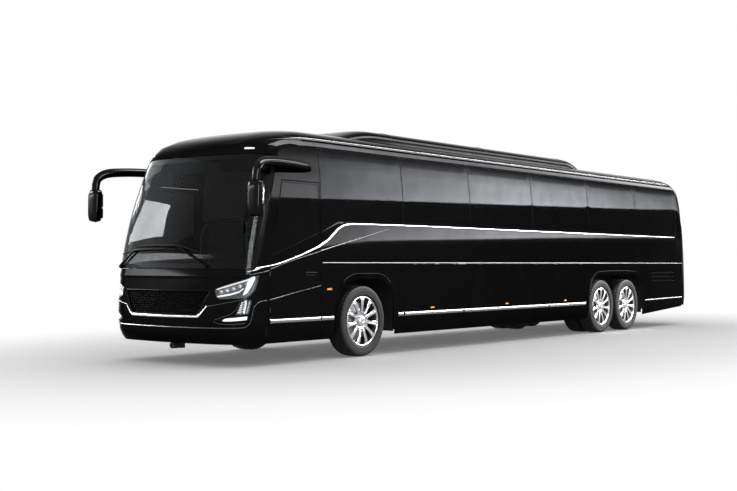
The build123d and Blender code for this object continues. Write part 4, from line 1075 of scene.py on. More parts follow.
mirrored_pair(make_headlamp, "headlamp", replaces=(("front_lamps",), ()), slot="lamp_clear")
mirrored_pair(make_lamp_cover, "headlamp_cover", slot="lamp_clear")
mirrored_pair(make_fog_lamp, "fog_lamp", slot="lamp_clear")


# Bright mouldings of the sides
def belt_piece(first, last):
    """The stretch of the belt line between two places."""
    inner = [p for p in BELT_LINE if first < p[0] < last]
    height = lambda s: float(np.interp(s, *zip(*BELT_LINE)))
    return [(first, height(first))] + inner + [(last, height(last))]


def make_belt(piece):
    """Belt, waist and foot lines of the side, and the small lamp behind the door."""
    add_strip(piece, side_path(belt_piece(-0.98, 11.07)), 0.017, 0.022, "chrome",
              widths=([0, 0.05, 0.1, 0.5, 1], [1.0, 1.0, 0.74, 0.64, 0.5]))
    add_strip(piece, side_path([(-0.98, 1.552), (-0.5, 1.655), (0.62, 1.893)]), 0.006, 0.008, "line_silver",
              widths=([0, 0.5, 1], [1, 0.7, 0.3]))
    add_strip(piece, side_path([(-0.975, 1.379), (REAR_CUT, 1.379)]), 0.0065, 0.009, "line_silver",
              ends=False)
    for first, last in ((-0.975, -0.71), (0.82, 0.955)):
        add_strip(piece, side_path([(first, FOOT_LINE), (last, FOOT_LINE)]), *FOOT_STRIP)
    add_strip(piece, side_path([(9.56, FOOT_LINE), (REAR_CUT, 0.62)]), 0.011, 0.01, "silver")
    lamp = rounded([(-0.865, 0.994), (-0.755, 0.994), (-0.765, 1.02), (-0.86, 1.018)], 0.006, 3)
    add_sheet(piece, [side_loop(lamp)], "amber", thick=0.012, lift=0.009, bevel=0.003, step=0.03)


FLARE = [(-1, -0.05), (-0.6, 0.2), (-0.2, 0.45), (0.2, 0.7), (0.6, 0.95), (0.8, 1.0), (0.95, 0.8), (1, 0.2),
         (1, -2.2), (0.9, -2.4)]


def make_flares(piece):
    """Slim flares over the wheel openings, rolled inwards at their edge."""
    for span in (FRONT_ARCH, REAR_ARCH):
        route = [p for p in dense(arch_points(span, -0.032), 0.04, closed=False) if p[1] > 0.34]
        add_strip(piece, [side_at(*p) for p in route], 0.046, 0.0115, "paint", profile=FLARE, step=0.035,
                  ends=False, widths=([0, 0.2, 0.38, 0.62, 0.8, 1], [0.55, 0.62, 1, 1, 0.62, 0.55]))


def make_door_belt(piece):
    """The belt, crease and foot lines over the door; the dim dark chrome strip along the lower crease is a
    painted highlight of that crease.
    """
    add_strip(piece, side_path(belt_piece(-2.04, -0.995)), 0.010, 0.018, "chrome",
              widths=([0, 0.5, 1], [0.6, 0.85, 1.6]))
    add_strip(piece, side_path([(-2.035, 1.295), (-1.75, 1.375), (-1.43, 1.45), (-0.995, 1.545)]), 0.004,
              0.007, "edge_line")
    # Dim dark chrome strip along the lower crease: a painted highlight, a line of metal where the crease only
    # catches light
    add_strip(piece, side_path([(-2.035, 0.884), (-1.43, 0.99), (-0.995, 1.058)]), 0.005, 0.006, "edge_line",
              widths=([0, 1], [1, 0.4]))
    add_strip(piece, side_path([(-2.03, FOOT_LINE), (-0.995, FOOT_LINE)]), *FOOT_STRIP)


def make_pillar_belt(piece):
    """The belt line over the pillar ahead of the door."""
    add_strip(piece, side_path([(-2.3, 1.302), (-2.2, 1.318), (-2.06, 1.336)]), 0.008, 0.012, "chrome",
              step=0.03)


mirrored_pair(make_flares, "arch_flares", slot="body_paint")
mirrored_pair(make_belt, "side_mouldings", slot="alloy")
mirrored_pair(make_door_belt, "door_mouldings", ("driver_door", "entrance_door"), slot="alloy")
mirrored_pair(make_pillar_belt, "pillar_moulding", slot="alloy")
for number, s in enumerate((1.72, 3.97, 6.07), 1):
    def make_mark(piece):
        """Small side lamp on a flap."""
        add_sheet(piece, [side_loop(box_loop((s - 0.05, s + 0.05), (0.665, 0.685), 0.008, 3))], "amber",
                  thick=0.01, lift=0.007, bevel=0.003, step=0.03)
    mirrored_pair(make_mark, f"side_lamp_{number}", [f"luggage_flap_{side}_{number}" for _, side in SIDES],
                  slot="lamp_red")


# Wheels: profiles are (outward, radius) about an axle, outward along +X * side
def spin(profile, side, sides):
    """Rows of points of a profile turned about an axle; the profile may differ at each step of the turn."""
    turns = np.arange(sides)[:, None] * 2 * math.pi / sides
    rows = np.broadcast_to(profile, (sides, *np.shape(profile)[-2:]))
    return np.stack([side * rows[..., 0], rows[..., 1] * np.cos(turns), rows[..., 1] * np.sin(turns)], -1)


def outward_of(profile):
    """Normals of a closed profile."""
    tangent = np.roll(profile, -1, 0) - np.roll(profile, 1, 0)
    return unit(np.stack([tangent[:, 1], -tangent[:, 0]], 1)) * (1 if signed_area(profile) > 0 else -1)


def ring_faces(sides, k):
    """Quads over rows of k points that close on themselves both ways."""
    return [(i * k + j, i * k + (j + 1) % k, (i + 1) % sides * k + (j + 1) % k, (i + 1) % sides * k + j)
            for i in range(sides) for j in range(k)]


def add_ring(piece, profile, centre, side, material, sides=96, smooth=True):
    """A closed profile turned about an axle."""
    profile = np.array(profile, float)
    k = len(profile)
    flat = (spin(profile, side, sides) + centre).reshape(-1, 3)
    shade = spin(outward_of(profile), side, sides).reshape(-1, 3)
    faces = ring_faces(sides, k)
    longest = max(range(k), key=lambda j: np.linalg.norm(profile[(j + 1) % k] - profile[j]))
    flip = looks_away(flat, faces[longest], shade[faces[longest][0]] + shade[faces[longest][1]])
    piece.add(flat, faces, material, shade if smooth else None, flip=flip)


BEAD_R = RIM_R + 0.002
TREAD_R, SHOULDER_R = 0.5185, 0.5
GROOVES, GROOVE_HALF, GROOVE_DEEP = (-0.085, -0.03, 0.03, 0.085), 0.006, 0.011
NOTCH_DEEP = 0.008


def tyre_profile():
    """Closed section of a tyre with its tread grooves."""
    side = [(-0.128, BEAD_R), (-0.143, BEAD_R + 0.012), (-0.1475, BEAD_R + 0.04), (-0.1495, BEAD_R + 0.075),
            (-0.1495, 0.475), (-0.146, 0.496), (-0.1385, 0.508), (-0.130, 0.5155), (-0.100, TREAD_R)]
    tread = []
    for mid in GROOVES:
        crown = 0.522 - 0.15 * mid ** 2
        tread += [(mid - GROOVE_HALF, crown), (mid - GROOVE_HALF + 0.001, crown - GROOVE_DEEP),
                  (mid + GROOVE_HALF - 0.001, crown - GROOVE_DEEP), (mid + GROOVE_HALF, crown)]
    return side + tread + [(-x, r) for x, r in side[::-1]] + [(0.12, BEAD_R), (-0.12, BEAD_R)]


def add_tyre(piece, centre, side):
    """Tyre with circumferential grooves, shoulder notches and raised bands on its wall."""
    profile = np.array(tyre_profile())
    k, sides = len(profile), 144
    rings = np.repeat(profile[None], sides, 0)
    shoulder = (np.abs(profile[:, 0]) > 0.092) & (profile[:, 1] > 0.503)
    rings[1::3][:, shoulder, 1] -= NOTCH_DEEP
    flat = (spin(rings, side, sides) + centre).reshape(-1, 3)
    shade = spin(outward_of(profile), side, sides).reshape(-1, 3)
    faces = {True: [], False: []}
    for face in ring_faces(sides, k):
        faces[min(profile[face[0] % k, 1], profile[face[1] % k, 1]) < SHOULDER_R].append(face)
    flip = looks_away(flat, faces[True][3], shade[faces[True][3][0]])
    piece.add(flat, faces[True], "rubber", shade, flip=flip)
    piece.add(flat, faces[False], "rubber", None, flip=flip)
    for radius in (0.402, 0.448):
        add_ring(piece, [(0.1475, radius - 0.004), (0.1508, radius - 0.002), (0.1508, radius + 0.002),
                         (0.1475, radius + 0.004)], centre, side, "rubber")


SPOKES = 11
SPOKE_STATIONS = [(0.115, 0.027, 0.118), (0.17, 0.021, 0.128), (0.25, 0.026, 0.136), (0.315, 0.033, 0.137),
                  (0.35, 0.046, 0.130)]  # radius, half width, outward place of the face
SPOKE_SECTION = [(-1.0, -0.024), (-1.0, -0.004), (-0.82, 0.0), (-0.25, 0.0), (0.0, -0.0035), (0.25, 0.0),
                 (0.82, 0.0), (1.0, -0.004), (1.0, -0.024)]
NUTS, NUT_CIRCLE, NUT_SIZE, NUT_TALL = 10, 0.122, 0.0125, 0.016


def add_spoke(piece, centre, side, turn):
    """One tapered spoke with bevelled edges and a shallow groove along its face."""
    ahead = np.array((0, math.cos(turn), math.sin(turn)))
    across = np.array((0, -math.sin(turn), math.cos(turn)))
    points = [centre + ahead * radius + across * (half * u) + (side * (face + v), 0, 0)
              for radius, half, face in SPOKE_STATIONS for u, v in SPOKE_SECTION]
    k = len(SPOKE_SECTION)
    faces = [(i * k + j, i * k + j + 1, (i + 1) * k + j + 1, (i + 1) * k + j)
             for i in range(len(SPOKE_STATIONS) - 1) for j in range(k - 1)]
    piece.add(points, faces, "alloy", None, flip=side < 0)


def add_hex_nut(piece, centre, side):
    """A wheel nut with a bevelled head."""
    ring = NUT_SIZE * np.array([(0, math.cos(k * math.pi / 3), math.sin(k * math.pi / 3)) for k in range(6)])
    top, crown = ring + (side * NUT_TALL, 0, 0), ring * 0.8 + (side * (NUT_TALL + 0.004), 0, 0)
    quads = band(6) + [tuple(i + 6 for i in quad) for quad in band(6)] + [range(12, 18)]
    piece.add(np.concatenate([ring, top, crown]) + centre, quads, "machined", None, flip=side < 0)


# Rings of a wheel: profile, material, sides, smooth
WHEEL_RINGS = (
    ([(-0.138, 0.345), (-0.138, RIM_R), (-0.125, RIM_R - 0.004), (-0.1, 0.352), (0.1, 0.352),
      (0.118, RIM_R - 0.005), (0.118, 0.349), (0.1, 0.342), (-0.12, 0.335)], "alloy_dark", 72, True),
    ([(0.112, RIM_R - 0.008), (0.118, RIM_R + 0.001), (0.130, RIM_R + 0.002), (0.1395, RIM_R - 0.003),
      (0.1405, RIM_R - 0.011), (0.134, RIM_R - 0.018), (0.118, RIM_R - 0.024), (0.110, RIM_R - 0.02)],
     "alloy", 96, True),
    ([(0.04, 0.03), (0.104, 0.03), (0.104, 0.085), (0.112, 0.092), (0.118, 0.115), (0.118, 0.142),
      (0.104, 0.15), (0.05, 0.15), (0.03, 0.12)], "alloy", 64, False),
    ([(0.10, 0.001), (0.100, 0.078), (0.120, 0.077), (0.136, 0.068), (0.144, 0.05), (0.147, 0.03),
      (0.148, 0.001)], "chrome", 48, True),
    ([(-0.12, 0.07), (-0.12, 0.27), (-0.05, 0.285), (0.02, 0.27), (0.045, 0.12), (0.045, 0.07)],
     "machined", 64, False),
)
TWIN_RINGS = (
    ([(-0.138, 0.338), (-0.138, RIM_R), (-0.12, 0.352), (0.12, 0.352), (0.138, RIM_R), (0.138, 0.338)],
     "alloy_dark", 64, True),
    ([(0.06, 0.05), (0.10, 0.05), (0.10, 0.339), (0.08, 0.339)], "alloy_dark", 64, False),
    ([(0.08, 0.05), (0.08, 0.11), (0.30, 0.11), (0.30, 0.05)], "steel", 48, False),
)


def make_rim(piece, y, side, twin):
    """Rim barrel, bright lip, spokes, nut ring and hub cap; inner disc wheel for a twin."""
    centre = np.array((side * WHEEL_X, y, TYRE_R))
    for profile, material, sides, smooth in WHEEL_RINGS:
        add_ring(piece, profile, centre, side, material, sides, smooth)
    for k in range(SPOKES):
        add_spoke(piece, centre, side, math.pi / 2 + 2 * math.pi * k / SPOKES)
    for k in range(NUTS):
        turn = 2 * math.pi * (k + 0.5) / NUTS
        out = (side * 0.116, NUT_CIRCLE * math.cos(turn), NUT_CIRCLE * math.sin(turn))
        add_hex_nut(piece, centre + out, side)
    for profile, material, sides, smooth in TWIN_RINGS if twin else ():
        add_ring(piece, profile, centre - (side * TWIN_PITCH, 0, 0), side, material, sides, smooth)


for side, suffix in SIDES:
    for name, y, twin in (("front", AXLE_F, False), ("drive", AXLE_D, True), ("tag", AXLE_T, False)):
        tyre = Piece(f"{name}_tread_{suffix}")
        for x in (WHEEL_X, WHEEL_X - TWIN_PITCH)[:1 + twin]:
            add_tyre(tyre, (side * x, y, TYRE_R), side)
        tyre.build(f"{name}_wheel_{suffix}", (f"{name}_tyre_{suffix}",), "tyre")
        rim = Piece(f"{name}_alloy_{suffix}")
        make_rim(rim, y, side, twin)
        rim.build(f"{name}_wheel_{suffix}", (f"{name}_rim_{suffix}",), "alloy")


# More mesh tools
def add_grid(piece, grid, material, wrap=False, centre=None):
    """Smooth surface over rows of points, its outside away from the centre."""
    grid = np.asarray(grid, float)
    rows, cols = grid.shape[:2]
    round_it = (np.roll(grid, -1, 1) - np.roll(grid, 1, 1)) if wrap else np.gradient(grid, axis=1)
    normal = np.cross(np.gradient(grid, axis=0), round_it)
    size = np.linalg.norm(normal, axis=2, keepdims=True)
    middle = grid.mean(1, keepdims=True) if centre is None else np.asarray(centre, float)
    inward = (normal * (grid - middle)).sum() < 0
    normal = np.where(size > 1e-9, normal / np.maximum(size, 1e-12) * (-1 if inward else 1),
                      unit(grid - grid.mean((0, 1))))
    faces = [(i * cols + j, (i + 1) * cols + j, (i + 1) * cols + (j + 1) % cols, i * cols + (j + 1) % cols)
             for i in range(rows - 1) for j in range(cols if wrap else cols - 1)]
    piece.add(grid.reshape(-1, 3), faces, material, normal.reshape(-1, 3), flip=inward)


def smooth_route(points, steps=6):
    """Curve through points, a few steps to each run."""
    p = np.array(points, float)
    p = np.vstack([2 * p[0] - p[1], p, 2 * p[-1] - p[-2]])
    out = []
    for i in range(1, len(p) - 2):
        for t in np.arange(steps) / steps:
            out.append(0.5 * (2 * p[i] + (p[i + 1] - p[i - 1]) * t
                              + (2 * p[i - 1] - 5 * p[i] + 4 * p[i + 1] - p[i + 2]) * t * t
                              + (3 * p[i] - p[i - 1] - 3 * p[i + 1] + p[i + 2]) * t ** 3))
    return np.array(out + [p[-2]])


def add_tube(piece, route, radius, material, sides=16, squash=(1.0, 1.0), up=(0, 0, 1), caps=True):
    """Bar along a route. radius is one value or one a point; squash is its half width and half height."""
    route = np.asarray(route, float)
    ahead = unit(np.gradient(route, axis=0))
    across = np.cross(ahead[0], up)
    turns = np.arange(sides)[:, None] * 2 * math.pi / sides
    grid = []
    for point, r, direction in zip(route, np.broadcast_to(radius, len(route)), ahead):
        across = unit(across - np.dot(across, direction) * direction)
        v = np.cross(across, direction)
        grid.append(point + r * (squash[0] * np.cos(turns) * across + squash[1] * np.sin(turns) * v))
    add_grid(piece, grid, material, wrap=True)
    if caps:
        for ring, direction in ((grid[0], -ahead[0]), (grid[-1], ahead[-1])):
            piece.add(ring, [range(sides)], material, flip=looks_away(ring, range(3), direction))


def add_block(piece, loop, depth, material, bevel=0.003):
    """A flat outline in space pushed along a vector, its far rim bevelled."""
    ring, depth = np.array(loop, float), np.array(depth, float)
    outward = depth / np.linalg.norm(depth)
    if np.cross(ring - ring.mean(0), np.roll(ring, -1, 0) - ring.mean(0)).sum(0) @ outward < 0:
        ring = ring[::-1]
    reach = np.linalg.norm(ring - ring.mean(0), axis=1, keepdims=True)
    top = ring + depth - (ring - ring.mean(0)) * np.minimum(bevel / reach, 0.4)
    shoulder = ring + depth - outward * bevel
    piece.add(np.concatenate([ring, shoulder]), band(len(ring)), material)
    piece.add(np.concatenate([shoulder, top]), band(len(ring)), material)
    piece.add(top, [range(len(ring))], material)
    piece.add(ring, [range(len(ring))], material, flip=True)


def add_box(piece, x, y, z, material):
    """A box between two places on each axis, with a bevelled top and bottom."""
    middle = (z[0] + z[1]) / 2
    corners = box_loop(x, y, min(abs(x[1] - x[0]), abs(y[1] - y[0])) * 0.12, 2)
    for end in (z[1], z[0]):
        add_block(piece, [(px, py, middle) for px, py in corners], (0, 0, end - middle), material, 0.006)


def add_lathe(piece, origin, axis, profile, material, sides=40):
    """Surface turned about an axis, profile as (radius, distance along the axis)."""
    axis, out = spokes(axis, sides)
    grid = np.array([np.array(origin) + r * np.array(out) + h * np.array(axis) for r, h in profile])
    for first, second in zip(grid, grid[1:]):
        add_grid(piece, [first, second], material, wrap=True)


# Mirrors: a thick curved arm and a tall rounded head with two glasses behind
ARM = [(1.175, -1.13, 2.70), (1.235, -1.22, 2.702), (1.30, -1.36, 2.708), (1.40, -1.80, 2.715),
       (1.49, -2.20, 2.705), (1.56, -2.47, 2.675), (1.598, -2.60, 2.60), (1.60, -2.64, 2.50),
       (1.60, -2.645, 2.38)]
HEAD_AT = (1.60, -2.645, 2.205)
HEAD_HALF = (0.106, 0.080, 0.243)


def make_mirror(piece):
    """Arm, head, two glasses with their seals, bright edge and foot."""
    route = smooth_route([(x, at(s), z) for x, s, z in ARM])
    radius = np.interp(np.linspace(0, 1, len(route)), [0, 0.06, 0.14, 0.6, 0.85, 1],
                       [0.030, 0.052, 0.060, 0.064, 0.061, 0.056])
    add_tube(piece, route, radius, "gloss_trim", sides=24, squash=(0.85, 1.0))
    add_tube(piece, route[4:-4], radius[4:-4] * 1.012, "satin", sides=24, squash=(0.18, 1.0), caps=False)
    cx, cy, cz = HEAD_AT[0], at(HEAD_AT[1]), HEAD_AT[2]
    grid = []
    for t in np.linspace(0, 1, 26):
        up = 2 * t - 1
        scale = max(1 - abs(up) ** 4.2, 0.0) ** (1 / 4.2)
        row = []
        for turn in np.arange(36) * math.pi / 18:
            c, q = math.cos(turn), math.sin(turn)
            ux, uy = abs(c) ** 0.55 * np.sign(c), abs(q) ** 0.62 * np.sign(q)
            row.append((cx + HEAD_HALF[0] * scale * (0.90 + 0.10 * t) * ux,
                        cy + HEAD_HALF[1] * scale * uy - 0.012 * (1 - t) * scale, cz + HEAD_HALF[2] * up))
        grid.append(row)
    add_grid(piece, grid, "gloss_trim", wrap=True)
    for low, high in ((cz - 0.02, cz + 0.17), (cz - 0.175, cz - 0.04)):
        rim = box_loop((cx - 0.078, cx + 0.078), (low - 0.008, high + 0.008), 0.03)
        add_block(piece, [(x, cy + 0.055, z) for x, z in rim], (0, 0.022, 0), "seal")
        pane = box_loop((cx - 0.07, cx + 0.07), (low, high), 0.025)
        add_block(piece, [(x, cy + 0.075, z) for x, z in pane], (0, 0.0045, 0), "mirror", 0.001)
    edge = smooth_route([(cx + 0.083, cy + 0.028, cz + 0.165), (cx + 0.092, cy + 0.032, cz + 0.08),
                         (cx + 0.091, cy + 0.030, cz - 0.03), (cx + 0.080, cy + 0.022, cz - 0.13)], 5)
    radius = np.interp(np.linspace(0, 1, len(edge)), [0, 0.1, 0.8, 1], [0.004, 0.013, 0.011, 0.003])
    add_tube(piece, edge, radius, "chrome", sides=10)
    add_lathe(piece, (1.205, at(-1.17), 2.70), (1, 0.35, 0),
              [(0.0, -0.02), (0.058, -0.02), (0.058, 0.0), (0.05, 0.01), (0.0, 0.012)], "satin", 28)


mirrored_pair(make_mirror, "mirror", replaces=(("mirrors",), ()), slot="body_paint")


# Wipers: pivots, sprung arms and blades that lie along the screen
def screen_line(points, lift):
    """Points over the screen from (x, z) in front view."""
    return surface_at([front_at(*p) for p in points], lift)[0]


wiper_piece = Piece("wiper_pair")
for pivot, elbow, blade in (
        ((-1.02, 1.325), (-0.68, 1.545), [(-0.99, 1.50), (-0.68, 1.552), (-0.2, 1.562), (0.16, 1.556)]),
        ((0.74, 1.335), (0.24, 1.60), [(-0.62, 1.600), (-0.2, 1.612), (0.24, 1.606), (0.60, 1.52)])):
    arm = screen_line(dense([pivot, elbow], 0.05, closed=False), 0.03)
    add_tube(wiper_piece, arm, np.linspace(0.026, 0.014, len(arm)), "wiper", sides=10, squash=(1, 0.6))
    add_lathe(wiper_piece, screen_line([pivot], 0.012)[0], (0, -1, 0.15),
              [(0.0, 0.03), (0.022, 0.028), (0.028, 0.018), (0.030, -0.01)], "wiper", 20)
    blade = dense(blade, 0.05, closed=False)
    add_tube(wiper_piece, screen_line(blade, 0.008), 0.005, "rubber", sides=6, squash=(0.7, 1.4))
    thick = np.interp(np.linspace(0, 1, len(blade)), [0, 0.5, 1], [0.010, 0.019, 0.010])
    add_tube(wiper_piece, screen_line(blade, 0.02), thick, "wiper", sides=8, squash=(1.4, 0.7))
wiper_piece.build(replaces=("wipers",), slot="trim_black")

# Roof marker lamps and the gutter along each roof edge
for side, suffix in SIDES:
    marker = Piece(f"roof_marker_{suffix}")
    add_strip(marker, [(side * a, b) for a, b in front_path([(0.90, 2.92), (1.02, 2.92)])], 0.010, 0.014,
              "glow", step=0.03)
    marker.build(slot="lamp_clear")


def make_gutter(piece):
    """Roof gutter with a dull silver line over it, and the upright joints at its ends."""
    line = [(-1.9, 3.045), (-1.6, 3.085), (-1.2, 3.112), (-0.8, 3.118), (11.2, 3.118)]
    taper = ([0, 0.03, 0.98, 1], [0.1, 1, 1, 0.3])
    add_strip(piece, side_path(line), 0.011, 0.004, "seal", widths=taper)
    upper = side_path([(s, z + 0.014) for s, z in line[1:]])
    add_strip(piece, upper, 0.006, 0.009, "line_silver", widths=taper)
    for s in (-0.97, 11.24):
        add_strip(piece, side_path([(s, 3.028), (s, 3.105)]), 0.003, 0.0015, "seal", ends=False)


mirrored_pair(make_gutter, "roof_gutter", slot="trim_black")

# Roof fairing over the air-conditioning units
POD_S = (-0.3, 7.9)
POD_HALF = 0.82
POD_BASE = 3.20
POD_TOP = 3.468
VENT_R = 0.31
pod = Piece("roof_fairing")
pod_rows = []
for s in np.concatenate([np.linspace(POD_S[0], 1.3, 22), np.linspace(1.5, 6.9, 20),
                         np.linspace(7.0, POD_S[1], 14)]):
    ahead, behind = s - POD_S[0], POD_S[1] - s
    height = 0.012 + (POD_TOP - POD_BASE - 0.012) * (ease(ahead / 1.25) ** 0.85 * ease(behind / 0.8) ** 0.7)
    half = POD_HALF * (0.80 + 0.20 * ease(ahead / 1.8)) * (0.9 + 0.1 * ease(behind / 0.9))
    pod_rows.append([(half * abs(math.cos(turn)) ** 0.50 * np.sign(math.cos(turn)), at(s),
                      POD_BASE + height * max(math.sin(turn), 0) ** 0.55)
                     for turn in np.arange(49) * math.pi / 48])
add_grid(pod, pod_rows, "paint", centre=(0, 0, 3.0))
for end in (0, -1):
    pod.add(pod_rows[end], [range(49)], "paint", flip=end == 0)
for s in (1.35, 4.15, 6.95):
    nearest = min(pod_rows, key=lambda row: abs(row[0][1] - at(s)))
    add_tube(pod, [(x * 1.001, y, z + 0.0015) for x, y, z in nearest][2:-2], 0.003, "seal", sides=6,
             up=(0, 1, 0), caps=False)
for s in (2.1, 3.3, 5.0, 6.2):
    add_lathe(pod, (0, at(s), POD_TOP - 0.004), (0, 0, 1),
              [(0.335, -0.006), (0.335, 0.004), (VENT_R, 0.004), (0.30, -0.004)], "satin", 56)
    for ring in range(6):
        radius = 0.05 + 0.048 * ring
        add_lathe(pod, (0, at(s), POD_TOP - 0.003), (0, 0, 1),
                  [(radius, -0.003), (radius, 0.002), (radius + 0.006, 0.002), (radius + 0.006, -0.003)],
                  "plastic")
    for turn in np.arange(8) * math.pi / 4:
        ends = [(r * math.cos(turn), at(s) + r * math.sin(turn), POD_TOP - 0.001) for r in (0.04, VENT_R)]
        add_tube(pod, ends, 0.004, "plastic", sides=6)
pod.build(replaces=("roof_pod",), slot="body_paint")

hatch = Piece("roof_hatches")
for s in (9.1, 10.4):
    outline = box_loop((-0.36, 0.36), (at(s) - 0.36, at(s) + 0.36), 0.08)
    add_block(hatch, [(x, y, 3.27) for x, y in outline], (0, 0, 0.045), "satin", 0.02)
hatch.build(slot="trim_black")

# Tail: panel, lid with its louvres, window, lamps, blank plate and bumper line
LID_HALF = 0.85
LID_Z = (0.56, 1.70)
REAR_GLASS_HALF = 0.95
REAR_GLASS_Z = (1.95, 2.85)
TAIL_FOOT = 0.44
LAMP_LOOP = rounded([(0.93, 0.98), (1.262, 0.98), (1.262, 1.62), (1.10, 1.66), (0.98, 1.50)], 0.03, 4)


def rear_box(x, z, radius=0.0, grow=0.0):
    """A box in rear view, grown by an amount, as an outline on the body."""
    return rear_loop(box_loop((x[0] - grow, x[1] + grow), (z[0] - grow, z[1] + grow), radius))


side_edge = [side_at(REAR_CUT + 0.002, z) for z in np.linspace(TAIL_FOOT, CANT_Z - 0.002, 30)]
(foot_a, foot_b), (top_a, top_b) = side_edge[0], side_edge[-1]
tail_outline = side_edge + [(a, top_b) for a in np.linspace(top_a, 2 * A_END - top_a, 50)[1:-1]]
tail_outline += [(2 * A_END - a, b) for a, b in side_edge[::-1]]
tail_outline += [(a, foot_b) for a in np.linspace(2 * A_END - foot_a, foot_a, 50)[1:-1]]
tail_holes = [rear_box((-LID_HALF, LID_HALF), LID_Z, 0.012, 0.004),
              rear_box((-REAR_GLASS_HALF, REAR_GLASS_HALF), REAR_GLASS_Z, 0.07),
              rear_loop(LAMP_LOOP), rear_loop([(-x, z) for x, z in LAMP_LOOP[::-1]])]
tail_lines = [[rear_at(x, z) for x in np.linspace(-1.2, 1.2, 40)] for z in (0.50, 0.52, 1.80, 1.82)]
tail = Piece("tail_panel")
add_sheet(tail, [tail_outline] + tail_holes, "paint", thick=0.03, step=0.1, creases=tail_lines)
for half, z, half_width, height in ((1.15, 1.80, 0.011, 0.012), (1.13, 0.505, 0.010, 0.012)):
    add_strip(tail, rear_path([(-half, z), (half, z)]), half_width, height, "silver")
for x in (-0.98, 0.98):
    add_sheet(tail, [rear_box((x - 0.09, x + 0.09), (0.62, 0.66), 0.015)], "red_lens", thick=0.01, lift=0.006,
              bevel=0.003, step=0.04)
for x, half, half_width, height in ((0, 0.42, 0.012, 0.014), (-1.02, 0.07, 0.011, 0.012),
                                    (1.02, 0.07, 0.011, 0.012)):
    add_strip(tail, rear_path([(x - half, 2.925), (x + half, 2.925)]), half_width, height, "red_lens")
tail.build(replaces=("rear_panel",), slot="body_paint")

lid = Piece("engine_cover")
slats = [(low, high, 0.64 + 0.06 * row) for row in range(9) for low, high in ((-0.73, -0.06), (0.06, 0.73))]
lid_loops = [rear_box((-LID_HALF, LID_HALF), LID_Z, 0.012)]
lid_loops += [rear_box((low, high), (z, z + 0.036), 0.012) for low, high, z in slats]
add_sheet(lid, lid_loops, "paint", thick=0.03, step=0.1,
          creases=[[rear_at(x, z) for x in np.linspace(-0.84, 0.84, 30)] for z in (1.20, 1.215)])
for low, high, z in slats:
    for level in (z + 0.011, z + 0.026):
        add_strip(lid, rear_path([(low - 0.01, level), (high + 0.01, level)]), 0.003, 0.014, "grille",
                  lift=-0.022, ends=False)
add_sheet(lid, [rear_box((-0.30, 0.30), (1.30, 1.47), 0.02)], "satin", thick=0.012, lift=0.006,
          bevel=0.004, step=0.1)
add_sheet(lid, [rear_box((-0.26, 0.26), (1.33, 1.44), 0.008)], "plate", thick=0.004, lift=0.010, bevel=0.0015,
          step=0.1)
for x in (-0.18, 0.18):
    add_strip(lid, rear_path([(x - 0.05, 1.487), (x + 0.05, 1.487)]), 0.009, 0.02, "gloss_trim")
add_strip(lid, rear_path([(-0.14, 0.60), (0.14, 0.60)]), 0.012, 0.02, "satin")
for x in (-0.25, 0.25):
    hinge_y = float(body_point(*rear_at(x, LID_Z[1]))[1]) + 0.006
    add_barrel(lid, (x - 0.03, hinge_y, LID_Z[1]), (x + 0.03, hinge_y, LID_Z[1]), 0.007, "satin")
lid.build("engine_lid", ("engine_lid",), "body_paint")

back_glass = Piece("tail_window")
add_sheet(back_glass, [rear_box((-REAR_GLASS_HALF, REAR_GLASS_HALF), REAR_GLASS_Z, 0.068, -0.003)], "tinted",
          thick=0.006, bevel=0.0015, step=0.12)
back_glass.build(replaces=("rear_glass",), slot="tinted_glass")
back_frame = Piece("tail_window_frame")
back_loops = [rear_box((-0.98, 0.98), (1.93, 2.87), 0.07), rear_box((-0.89, 0.89), (2.01, 2.79), 0.05)]
add_sheet(back_frame, back_loops, "satin", thick=0.02, lift=-0.03, step=0.12)
back_frame.build(slot="trim_black")


def make_tail_lamp(piece):
    """Red lens over three round lights and a light guide, with an indicator and a reversing lamp."""
    lens = rear_loop(LAMP_LOOP)
    add_sheet(piece, [lens], "lamp_shell", thick=0.008, bevel=0.004, step=0.05)
    add_sheet(piece, [lens], "gloss_trim", thick=0.01, lift=-0.04, bevel=0.001, step=0.06)
    guide = [(0.955, 1.02), (1.02, 1.50), (1.10, 1.60), (1.22, 1.575)]
    add_strip(piece, rear_path(guide, 0.03), 0.009, 0.02, "red_lens", lift=-0.026, step=0.02)
    for x, z, material in ((1.10, 1.47, "red_lens"), (1.09, 1.33, "red_lens"), (1.08, 1.19, "amber"),
                           (1.07, 1.065, "reflector")):
        point, normal = (found[0] for found in surface_at([rear_at(x, z)], -0.034))
        add_lathe(piece, point, normal, [(0.058, 0.0), (0.058, 0.014), (0.05, 0.018), (0.046, 0.004)],
                  "reflector", 28)
        add_dome(piece, point + normal * 0.002, normal, 0.045, 0.014, material)


mirrored_pair(make_tail_lamp, "tail_lamp", replaces=(("tail_lamps",), ()), slot="lamp_red")

exhaust = Piece("exhaust_end")
add_tube(exhaust, smooth_route([(-0.55, at(10.6), 0.47), (-0.55, at(11.05), 0.46), (-0.56, at(11.3), 0.43),
                                (-0.57, at(11.55), 0.38)], 5), 0.05, "machined", sides=24)
exhaust.build(slot="frame_steel")

# Cabin: padded seats, driver's place, dashboard, racks and rails
SEAT_ROWS = 14
SEAT_PITCH = 0.8
SEAT_FIRST = -0.15
SEAT_X = (0.49, 0.94)
BACK_LEAN = math.pi / 2 - 0.175
DRIVER_X = 0.62
VOXEL = 0.026
SWELL_STEPS = 20
SWELL_CAP = 0.024
PAD_CELLS = (14, 16)
GROOVE_DEPTH, GROOVE_WIDTH = 0.007, 0.012
PIPING_DEPTH, PIPING_WIDTH = 0.006, 0.009


def bake(obj):
    """Turns an object's modifiers into its mesh."""
    graph = bpy.context.evaluated_depsgraph_get()
    done = bpy.data.meshes.new_from_object(obj.evaluated_get(graph))
    obj.modifiers.clear()
    obj.data = done


